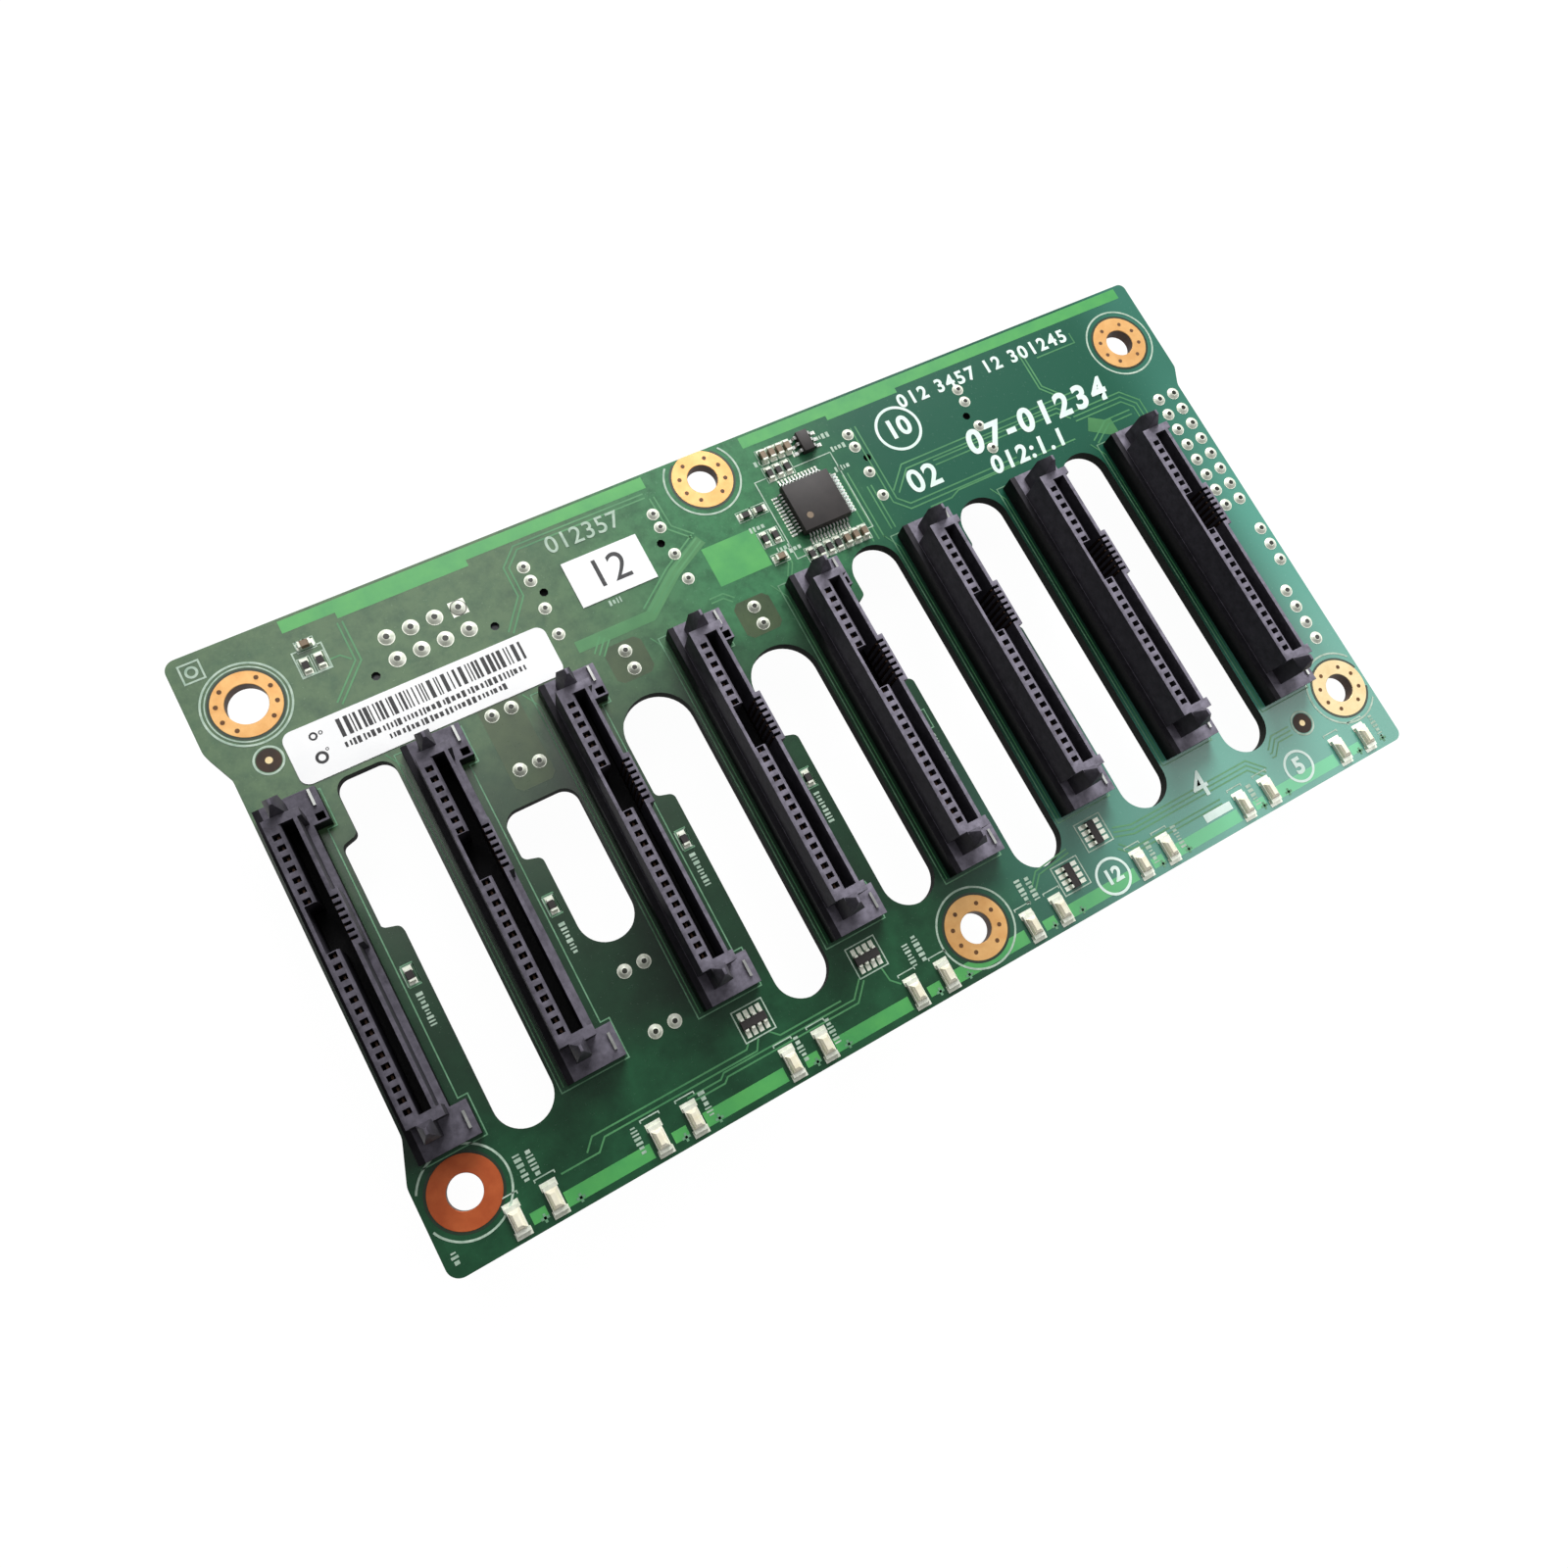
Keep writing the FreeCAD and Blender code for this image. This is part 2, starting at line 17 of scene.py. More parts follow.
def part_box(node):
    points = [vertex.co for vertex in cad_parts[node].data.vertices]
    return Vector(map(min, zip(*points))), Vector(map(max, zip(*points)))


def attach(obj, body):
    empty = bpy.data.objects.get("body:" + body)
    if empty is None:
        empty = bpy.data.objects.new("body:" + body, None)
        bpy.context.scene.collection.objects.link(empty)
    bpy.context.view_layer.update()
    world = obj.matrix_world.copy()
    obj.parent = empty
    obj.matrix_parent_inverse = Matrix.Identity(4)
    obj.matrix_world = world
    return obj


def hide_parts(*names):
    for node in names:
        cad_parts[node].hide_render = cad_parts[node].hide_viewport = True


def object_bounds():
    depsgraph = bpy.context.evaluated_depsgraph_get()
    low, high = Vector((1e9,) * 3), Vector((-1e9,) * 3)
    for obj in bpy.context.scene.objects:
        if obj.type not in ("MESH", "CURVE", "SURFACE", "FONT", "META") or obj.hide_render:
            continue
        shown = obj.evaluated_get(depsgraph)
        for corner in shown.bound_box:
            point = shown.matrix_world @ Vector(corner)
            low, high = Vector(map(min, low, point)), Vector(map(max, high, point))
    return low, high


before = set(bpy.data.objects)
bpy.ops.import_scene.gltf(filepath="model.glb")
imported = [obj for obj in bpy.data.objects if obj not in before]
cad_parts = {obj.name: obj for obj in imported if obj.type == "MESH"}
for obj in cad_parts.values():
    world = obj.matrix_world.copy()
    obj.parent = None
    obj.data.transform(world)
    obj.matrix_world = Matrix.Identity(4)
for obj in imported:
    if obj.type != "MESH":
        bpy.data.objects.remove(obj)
cad_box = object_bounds()
print("nodes in the frame:", len(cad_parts))

# %% [markdown]
# Every place on the board is told from the first contact of a drive bay, as a board designer
# would do. The bays are read from the frame, so that the print moves with the parts.

# %% Places on the board
MM = 0.001
BAYS = range(1, 9)
CONTACT_INSET = (0.05 * MM, 0.25 * MM)
board_low, board_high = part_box("circuit_board")
TOP, BACK = board_high[2], board_low[2]
bay_x = [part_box("drive_contacts_%d" % bay)[0][0] + CONTACT_INSET[0] for bay in BAYS]
line_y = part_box("drive_contacts_1")[1][1] - CONTACT_INSET[1]


def column(bay, right):
    """X in metres, from the first contact of a bay, in millimetres."""
    return bay_x[bay - 1] + right * MM


def row(rear):
    """Y in metres, from the line of first contacts, in millimetres."""
    return line_y + rear * MM


def at(bay, right, rear):
    """Point on the board in metres."""
    return Vector((column(bay, right), row(rear)))


board_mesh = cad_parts["circuit_board"].data
board_tree = BVHTree.FromPolygons([v.co for v in board_mesh.vertices],
                                  [p.vertices for p in board_mesh.polygons])


def on_board(x, y, margin=0.25 * MM):
    """True where short rays from above meet the board, the margin kept to every side."""
    down = Vector((0, 0, -1))
    return all(board_tree.ray_cast(Vector((x + dx, y + dy, TOP + MM)), down, 2 * MM)[0] is not None
               for dx, dy in ((margin, 0), (-margin, 0), (0, margin), (0, -margin)))


print("bay pitch in mm:", round((bay_x[1] - bay_x[0]) / MM, 2))

# %% [markdown]
# Shader nodes are joined by a few small helpers. A plain value is typed into a socket, and the
# output of another node is linked to it.


# %% Shader node helpers
def srgb(red, green, blue):
    """Screen colour, 0 to 255, as the linear colour a shader takes."""
    def linear(value):
        value /= 255
        return value / 12.92 if value <= 0.04045 else ((value + 0.055) / 1.055) ** 2.4
    return (linear(red), linear(green), linear(blue), 1)


def feed(tree, socket, value):
    if isinstance(value, (int, float, tuple)):
        socket.default_value = value
    else:
        tree.links.new(value, socket)


def add_node(tree, kind, **inputs):
    """Shader node with its inputs fed; where a label has a space, its word here has a _."""
    node = tree.nodes.new("ShaderNode" + kind)
    for label, value in inputs.items():
        feed(tree, node.inputs[label.replace("_", " ")], value)
    return node


def math_node(tree, operation, first, second):
    node = add_node(tree, "Math")
    node.operation = operation
    for socket, value in zip(node.inputs, (first, second)):
        feed(tree, socket, value)
    return node.outputs[0]


def times(tree, first, second):
    return math_node(tree, "MULTIPLY", first, second)


def plus(tree, first, second):
    return math_node(tree, "ADD", first, second)


def noise(tree, scale, detail, rough=0.6):
    """Noise in the object's own metres."""
    where = add_node(tree, "TexCoord").outputs["Object"]
    return add_node(tree, "TexNoise", Vector=where, Scale=scale, Detail=detail,
                    Roughness=rough).outputs["Fac"]


def mix_colour(tree, factor, first, second):
    node = add_node(tree, "Mix")
    node.data_type = "RGBA"
    for number, value in ((0, factor), (6, first), (7, second)):
        feed(tree, node.inputs[number], value)
    return node.outputs[2]


def parts_of(tree, vector):
    """X, Y and Z of a vector output."""
    return add_node(tree, "SeparateXYZ", Vector=vector).outputs


print("black and white in linear light:", srgb(0, 0, 0)[0], srgb(255, 255, 255)[0])

# %% [markdown]
# Three effects come back on nearly every surface of a used board: a cloudy change of tone, a fine
# grain that breaks up the gloss, and dust that settles on what faces up. The pale dust also paints
# the sheen of lit top faces. Each is a node group, so one recipe serves all materials with its own
# values.

# %% Node groups for tone, grain and dust
DUST_AND_SHEEN_COLOUR = srgb(176, 170, 188)


def group(name, inputs, outputs):
    """Node group with the named sockets; all are numbers, but for the two colours."""
    tree = bpy.data.node_groups.new(name, "ShaderNodeTree")
    for way, labels in (("INPUT", inputs), ("OUTPUT", outputs)):
        for label in labels:
            kind = "NodeSocketColor" if label in ("Colour", "Other") else "NodeSocketFloat"
            tree.interface.new_socket(label, in_out=way, socket_type=kind)
    return tree, tree.nodes.new("NodeGroupInput").outputs, tree.nodes.new("NodeGroupOutput").inputs


def make_tone():
    """Two colours mixed by soft clouds."""
    tree, given, made = group("cloudy_tone", ("Colour", "Other", "Scale", "Contrast"),
                              ("Colour",))
    cloud = math_node(tree, "SUBTRACT", noise(tree, given["Scale"], 4), 0.5)
    cloud = plus(tree, times(tree, cloud, given["Contrast"]), 0.5)
    cloud.node.use_clamp = True
    tree.links.new(mix_colour(tree, cloud, given["Colour"], given["Other"]), made[0])
    return tree


def make_grain():
    """Roughness that varies round a middle value, and a height for a bump."""
    tree, given, made = group("fine_grain", ("Scale", "Roughness", "Spread"),
                              ("Roughness", "Height"))
    fleck = noise(tree, given["Scale"], 3)
    swing = times(tree, math_node(tree, "SUBTRACT", fleck, 0.5), given["Spread"])
    tree.links.new(plus(tree, given["Roughness"], swing), made[0])
    tree.links.new(fleck, made[1])
    return tree


def make_dust_and_sheen():
    """Pale dust laid over a colour wherever the surface faces up, above a given height; it is
    partly painted sheen.
    """
    tree, given, made = group("dust_and_painted_sheen", ("Colour", "Amount", "Above"), ("Colour",))
    shape = add_node(tree, "NewGeometry").outputs
    facing = math_node(tree, "MAXIMUM", parts_of(tree, shape["Normal"])["Z"], 0.0)
    speck = times(tree, noise(tree, 900.0, 6, 0.7), given["Amount"])
    height = parts_of(tree, shape["Position"])["Z"]
    high = math_node(tree, "GREATER_THAN", height, given["Above"])
    cover = times(tree, times(tree, facing, high), speck)
    tree.links.new(mix_colour(tree, cover, given["Colour"], DUST_AND_SHEEN_COLOUR), made[0])
    return tree


TONE, GRAIN, DUST_AND_SHEEN = make_tone(), make_grain(), make_dust_and_sheen()
print("node groups:", [made.name for made in bpy.data.node_groups])

# %% [markdown]
# A material here is one Principled shader with the groups placed in front of it. The maker gives
# the two tones, the gloss and how much dust and painted sheen lie on it; the rest of the recipe
# stays the same.

# %% Material maker
COAT_ROUGHNESS = 0.25
GRAIN_DEPTH = 0.02 * MM


def put_group(tree, made, **values):
    node = add_node(tree, "Group")
    node.node_tree = made
    for label, value in values.items():
        feed(tree, node.inputs[label], value)
    return node.outputs


def finish_of(name, colour, other, scale, contrast=2.0, rough=0.6, spread=0.15, grain=4000.0,
              bump=0.1, dust_sheen=0.0, above=-1.0, metallic=0.0, coat=0.0, specular=0.5):
    """Material with cloudy tone, grain and dust with painted sheen, from two screen colours."""
    made = bpy.data.materials.new(name)
    made.use_nodes = True
    tree = made.node_tree
    shader = tree.nodes["Principled BSDF"].inputs
    top = put_group(tree, TONE, Colour=srgb(*colour), Other=srgb(*other), Scale=scale,
                    Contrast=contrast)["Colour"]
    if dust_sheen:
        top = put_group(tree, DUST_AND_SHEEN, Colour=top, Amount=dust_sheen, Above=above)["Colour"]
    tree.links.new(top, shader["Base Color"])
    skin = put_group(tree, GRAIN, Scale=grain, Roughness=rough, Spread=spread)
    tree.links.new(skin["Roughness"], shader["Roughness"])
    relief = add_node(tree, "Bump", Strength=bump, Distance=GRAIN_DEPTH, Height=skin["Height"])
    for label, value in (("Normal", relief.outputs["Normal"]), ("Metallic", metallic),
                         ("Coat Weight", coat), ("Coat Roughness", COAT_ROUGHNESS),
                         ("Specular IOR Level", specular)):
        feed(tree, shader[label], value)
    return made


print("material maker ready")

# %% [markdown]
# The green of a circuit board is a thin lacquer over copper and glass cloth. Where copper lies
# below, it looks lighter and fresher; over bare laminate it is darker. The cut sides show no
# lacquer, only resin, and there the material turns near black where the surface faces sideways:
# partly the resin's own dark, partly painted shade. Painted reflections of the lamps lie on the
# lacquer, grey at the rear left and teal at the front right, and painted shade darkens the strips
# between the slots.

# %% Solder mask
# The grey and fresh greens and the teal are painted reflections of the lamps on the lacquer; the
# dusky green is painted shade between the slots; the mint is painted reflection on copper fields.
GREY_GREEN, FRESH_GREEN = srgb(76, 106, 70), srgb(60, 124, 82)
BLUE_GREEN, SHADE_GREEN = srgb(28, 88, 68), srgb(26, 40, 30)
TEAL_REFLECTION, MINT_REFLECTION = srgb(88, 158, 140), srgb(104, 196, 146)
EDGE_RESIN_AND_SHADE = srgb(12, 20, 12)
MASK_COAT = 0.15


def ramp(tree, source, low, high):
    """0 at low, 1 at high, with a soft start and end."""
    node = add_node(tree, "MapRange", Value=source, From_Min=low, From_Max=high)
    node.interpolation_type = "SMOOTHSTEP"
    return node.outputs["Result"]


def place_on_board(tree):
    """X and Y of the point, as outputs."""
    where = parts_of(tree, add_node(tree, "TexCoord").outputs["Object"])
    return where["X"], where["Y"]


def board_material():
    """Green lacquer: painted reflections, grey at the rear left and teal at the front right;
    painted shade between the slots; near black at cut edges.
    """
    made = finish_of("solder_mask", (18, 62, 38), (30, 82, 52), 260.0, 3.0, rough=0.26,
                     spread=0.08, grain=2500.0, bump=0.05)
    tree = made.node_tree
    shader = tree.nodes["Principled BSDF"].inputs
    clouds = shader["Base Color"].links[0].from_socket
    x, y = place_on_board(tree)
    # Grey towards the rear left, in blotches: painted reflection of the lamps.
    painted_haze = times(tree, ramp(tree, y, row(-30), row(12)), ramp(tree, x, column(6, 4), column(5, 0)))
    painted_haze = times(tree, painted_haze, plus(tree, times(tree, noise(tree, 380.0, 5, 0.7), 2.4), -0.4))
    painted_haze.node.use_clamp = True
    grey = mix_colour(tree, ramp(tree, x, column(4, 12), column(3, 0)), FRESH_GREEN, GREY_GREEN)
    clouds = mix_colour(tree, ramp(tree, x, column(4, 10), column(6, 8)), clouds, BLUE_GREEN)
    tone = mix_colour(tree, painted_haze, clouds, grey)
    # Painted shade: a dusky green on the narrow strips between the slots.
    between_shade = times(tree, ramp(tree, y, row(-39), row(-33)), ramp(tree, y, row(6), row(-6)))
    tone = mix_colour(tree, times(tree, between_shade, 0.6), tone, SHADE_GREEN)
    # Painted reflection of the right lamp: teal at the front right and along the right rim, where
    # it fades towards the rear.
    front = times(tree, ramp(tree, y, row(-18), row(-42)),
                  ramp(tree, x, column(4, 10), column(7, 10)))
    rim = times(tree, ramp(tree, x, column(8, 3), column(8, 14)),
                plus(tree, times(tree, ramp(tree, y, row(14), row(-14)), 0.7), 0.3))
    tone = mix_colour(tree, math_node(tree, "MAXIMUM", front, rim), tone, TEAL_REFLECTION)
    # Rough resin, without lacquer, where the board was cut: near black, partly the resin's own dark
    # and partly painted shade of the slot walls.
    normal = parts_of(tree, add_node(tree, "NewGeometry").outputs["Normal"])
    flat = math_node(tree, "POWER", math_node(tree, "ABSOLUTE", normal["Z"], 0.0), 4.0)
    tree.links.new(mix_colour(tree, flat, EDGE_RESIN_AND_SHADE, tone), shader["Base Color"])
    gloss = shader["Roughness"].links[0].from_socket
    sawn = math_node(tree, "SUBTRACT", 1.0, flat)
    tree.links.new(math_node(tree, "MAXIMUM", gloss, sawn), shader["Roughness"])
    tree.links.new(times(tree, flat, MASK_COAT), shader["Coat Weight"])
    return made


def paint_mint_reflection(made):
    """Mixes a cool mint into a finish towards the front right corner, as painted reflection of the
    right lamp.
    """
    tree = made.node_tree
    base = tree.nodes["Principled BSDF"].inputs["Base Color"]
    x, y = place_on_board(tree)
    share = times(tree, ramp(tree, x, column(4, 10), column(8, 0)),
                  ramp(tree, y, row(-20), row(-40)))
    tree.links.new(mix_colour(tree, share, base.links[0].from_socket, MINT_REFLECTION), base)


MASK = board_material()
POUR = finish_of("mask_over_copper", (84, 170, 88), (66, 152, 84), 260, 2.5, rough=0.34, coat=0.2)
paint_mint_reflection(POUR)
TRACE = finish_of("mask_over_trace", (84, 150, 96), (58, 124, 78), 120, 3, rough=0.36, coat=0.2)
FEED = finish_of("mask_over_feed", (76, 138, 84), (58, 118, 70), 200, 2.5, rough=0.34, coat=0.2)
BARE = finish_of("mask_on_bare_board", (72, 90, 58), (54, 74, 48), 300, 2.5, rough=0.3, coat=0.15)
MOAT = finish_of("mask_over_laminate", (34, 54, 34), (26, 44, 30), 200, rough=0.4, coat=0.2)
INK = finish_of("print_ink", (190, 208, 192), (144, 172, 152), 900, 3)
BOLD_INK = finish_of("bold_print_ink", (232, 246, 240), (206, 230, 218), 600)
FAINT_INK = finish_of("thin_print_ink", (116, 164, 130), (84, 134, 98), 700, 3)
print("board finishes ready:", MASK.name)

# %% [markdown]
# Metals on the board: gold-plated rings that the screws press on, one ring of bare copper, bright
# solder, tinned leads. The plastics: black housings with a worn satin skin, white films and lamps.

# %% Metals and plastics
GOLD = finish_of("gold_land", (238, 188, 122), (220, 162, 96), 500, 2.5, rough=0.42, bump=0.25,
                 metallic=0.5)
PALE_GOLD = finish_of("pale_gold_land", (236, 216, 170), (222, 196, 144), 500, rough=0.42,
                      bump=0.2, metallic=0.4)
COPPER = finish_of("copper_land", (206, 104, 56), (186, 86, 44), 500, 2.5, rough=0.45, bump=0.25,
                   metallic=0.5)
BARREL = finish_of("hole_barrel", (84, 50, 18), (54, 32, 12), 700, 2.5)
GROUND = finish_of("bare_ground", (58, 34, 14), (34, 22, 12), 700, 2.5)
VIA = finish_of("via_hole", (112, 70, 22), (80, 48, 18), 900)
# Lead tips get a near-black finish: a painted dark reflection in the middle of each joint.
DARK_TIP_REFLECTION = finish_of("painted_dark_tip", (40, 42, 32), (24, 30, 22), 1500, 3, rough=0.35, coat=0.3)
# Solder gets a near-white base: partly the metal's own brightness, partly a painted highlight.
SOLDER = finish_of("bright_solder", (246, 248, 236), (220, 226, 208), 1500, 3, rough=0.34,
                   bump=0.3, metallic=0.2)
TIN = finish_of("tinned_lead", (205, 207, 204), (170, 172, 168), 900, rough=0.34, metallic=0.85)
# The gold contacts get a dark brown: painted shade of the pockets and sockets they sit in.
CONTACT_IN_SHADE = finish_of("contact_in_painted_shade", (86, 60, 42), (58, 40, 30), 900, rough=0.45, metallic=0.6)
CAGE = finish_of("nickel_cage", (186, 186, 182), (158, 158, 154), 260, 2.5, rough=0.34,
                 metallic=0.9)
CAN = finish_of("aluminium_can", (198, 200, 203), (176, 178, 182), 300, rough=0.3, metallic=0.9)
# The pale dust on the housings' tops is partly painted sheen of the lamps.
HOUSING = finish_of("black_housing", (19, 18, 21), (12, 11, 14), 160, 2.5, rough=0.5, spread=0.2,
                    grain=3000.0, bump=0.2, dust_sheen=0.55, above=TOP + 2.3 * MM, specular=0.1)
CHIP = finish_of("moulded_chip", (52, 47, 46), (40, 36, 36), 500, grain=9000.0, bump=0.3,
                 specular=0.4)
LAMP_BODY = finish_of("lamp_body", (244, 243, 232), (228, 226, 210), 900, rough=0.5)
LAMP_LENS = finish_of("lamp_lens", (250, 246, 226), (238, 230, 200), 900, rough=0.2, coat=0.4)
FILM = finish_of("label_film", (246, 246, 246), (238, 239, 240), 200, rough=0.5, bump=0.05)
BLACK_INK = finish_of("black_ink", (34, 34, 36), (60, 60, 62), 2500, 3)
NYLON = finish_of("natural_nylon", (232, 226, 208), (220, 212, 190), 200, rough=0.5)
CERAMIC = finish_of("fired_ceramic", (136, 116, 92), (108, 92, 74), 900, rough=0.55)
SLEEVE = finish_of("can_sleeve", (28, 30, 46), (20, 22, 34), 200, rough=0.4, coat=0.3)


def dust_sheen_and_step_shade(made):
    """Less dust and painted sheen on the housings at the left; hardly any on the low step along
    their left side, which stays dark as painted shade.
    """
    tree = made.node_tree
    dust_sheen = next(n for n in tree.nodes if n.type == "GROUP" and n.node_tree == DUST_AND_SHEEN)
    x, _ = place_on_board(tree)
    amount = plus(tree, times(tree, ramp(tree, x, column(1, -6), column(5, 0)), 0.46), 0.36)
    # Painted shade: the low step along each housing's left side gets almost no pale dust.
    from_side = math_node(tree, "SUBTRACT", x, column(1, -1.7))
    from_side = math_node(tree, "MODULO", from_side, bay_x[1] - bay_x[0])
    step_shade = plus(tree, math_node(tree, "GREATER_THAN", from_side, 0.76 * MM), 0.1)
    tree.links.new(times(tree, amount, step_shade), dust_sheen.inputs["Amount"])


dust_sheen_and_step_shade(HOUSING)
print("materials:", len(bpy.data.materials))

# %% [markdown]
# The CAD nodes that keep their own shape only need a finish. Their meshes are never touched.

# %% Finishes on the CAD nodes
NODE_FINISHES = {
    "circuit_board": MASK, "drive_receptacle": HOUSING, "drive_contacts": CONTACT_IN_SHADE,
    "status_lights": LAMP_BODY, "hold_down_clips": TIN, "controller_chip": CHIP,
    "regulator_chip": CHIP, "chip_leads": TIN, "resistor_array": CHIP, "chip_resistors": CHIP,
    "chip_capacitors": CERAMIC, "long_label": FILM, "short_label": FILM, "solder_joints": SOLDER,
    "cable_socket_shell": CAGE, "cable_socket_insert": HOUSING, "power_header": NYLON,
    "power_pins": TIN, "capacitor_": CAN, "edge_header": HOUSING, "edge_pins": CONTACT_IN_SHADE,
}
for prefix, made in NODE_FINISHES.items():
    dressed = [thing for name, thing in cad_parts.items() if name.startswith(prefix)]
    for thing in dressed:
        thing.data.materials.clear()
        thing.data.materials.append(made)
    print(prefix, "dressed:", len(dressed))

# %% [markdown]
# Print, copper and holes are flat shapes a few hundredths of a millimetre above the board. A
# small class collects them for one mesh: blocks, rings and ribbons that turn corners with a mitre,
# which is how a board house draws them too.

# %% Flat shapes
MITRE_LIMIT = 0.4


def settle(name, data, made):
    """Object with one finish that rides on the board."""
    thing = bpy.data.objects.new(name, data)
    bpy.context.collection.objects.link(thing)
    data.materials.append(made)
    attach(thing, "root")
    return thing


def rectangle(middle, width, height):
    """Corners round a middle, the sizes in millimetres."""
    x, y, w, h = middle[0], middle[1], width * MM / 2, height * MM / 2
    return [(x - w, y - h), (x + w, y - h), (x + w, y + h), (x - w, y + h)]


def circle(middle, radius, sides):
    """Points round a middle, the radius in millimetres."""
    turn = 2 * math.pi / sides
    return [(middle[0] + radius * MM * math.cos(turn * n),
             middle[1] + radius * MM * math.sin(turn * n)) for n in range(sides)]


def mitres(route, closed=False):
    """For each point of a route, the way across it, longer where the route turns a corner."""
    across = []
    for n, here in enumerate(route):
        ways = []
        if n or closed:
            ways.append((here - route[n - 1]).normalized())
        if n < len(route) - 1 or closed:
            ways.append((route[(n + 1) % len(route)] - here).normalized())
        normals = [Vector((-way.y, way.x)) for way in ways]
        middle = sum(normals, Vector((0, 0))).normalized()
        across.append(middle / max(middle.dot(normals[0]), MITRE_LIMIT))
    return across


class Flat:
    """Flat faces at one height, joined into one mesh; the lift is in millimetres."""

    def __init__(self, lift, height=TOP, under=False):
        self.z = BACK - lift * MM if under else height + lift * MM
        self.under = under
        self.points, self.faces = [], []

    def polygon(self, corners):
        corners = list(reversed(corners)) if self.under else corners
        start = len(self.points)
        self.points += [(x, y, self.z) for x, y in corners]
        self.faces.append(list(range(start, start + len(corners))))

    def field(self, first, last):
        """Upright rectangle between two places: front left and rear right."""
        low, high = at(*first), at(*last)
        self.polygon([(low.x, low.y), (high.x, low.y), (high.x, high.y), (low.x, high.y)])

    def block(self, middle, width, height):
        self.polygon(rectangle(middle, width, height))

    def disc(self, middle, radius, sides=24):
        self.polygon(circle(middle, radius, sides))

    def ring(self, middle, inner, outer, sides=72):
        """Ring, left out wherever it would hang over an edge or a slot."""
        inside, outside = circle(middle, inner, sides), circle(middle, outer, sides)
        for n in range(sides):
            m = (n + 1) % sides
            corners = [inside[n], outside[n], outside[m], inside[m]]
            if all(on_board(x, y) for x, y in corners):
                self.polygon(corners)

    def path(self, places, width, closed=False):
        """Line through places told as bay, right and rear."""
        self.ribbon([at(*place) for place in places], width, closed)

    def ribbon(self, route, width, closed=False):
        """Line of even width through the route."""
        route = [Vector(point) for point in route]
        half = [across * width * MM / 2 for across in mitres(route, closed)]
        for n in range(len(route) if closed else len(route) - 1):
            m = (n + 1) % len(route)
            self.polygon([route[n] - half[n], route[m] - half[m], route[m] + half[m],
                          route[n] + half[n]])

    def frame(self, middle, width, height, line):
        self.ribbon(rectangle(middle, width, height), line, closed=True)

    def build(self, name, made, slot="board_laminate"):
        mesh = bpy.data.meshes.new(name)
        mesh.from_pydata(self.points, [], self.faces)
        print(name, "faces:", len(self.faces))
        return settle(name, mesh, made)


print("flat shapes stand from", round(TOP / MM, 2), "mm upwards")

# %% [markdown]
# Large copper areas under the lacquer show as fresh green fields along the edges, broken where the
# lamps stand. Each is told by two opposite corners: bay, right, rear.

# %% Copper fields
REAR_FIELDS = (
    ((1, 9.3, 24.1), (1, 15.6, 25.7)), ((1, 15.6, 23.3), (2, 15.0, 25.7)),
    ((2, 15.0, 24.1), (4, 5.4, 25.7)), ((5, 2.5, 24.1), (8, 13.6, 25.7)),
    ((4, 7.8, 8.2), (4, 15.2, 13.7)), ((5, 15.0, 23.4), (6, 9.0, 24.1)),
)
pours = Flat(0.010)
for first, last in REAR_FIELDS:
    pours.field(first, last)
for bay in BAYS[1:]:
    pours.field((bay, -7.1, -48.5), (bay, 3.3, -46.8))
for bay in BAYS:
    pours.field((bay, 5.9, -48.3), (bay, 7.7, -47.0))
pours.build("copper_fields", POUR)

# %% [markdown]
# Thin traces run in bundles with slanted corners from the chips to the sockets, and one passes
# along each receptacle. Wider feeds carry the power.

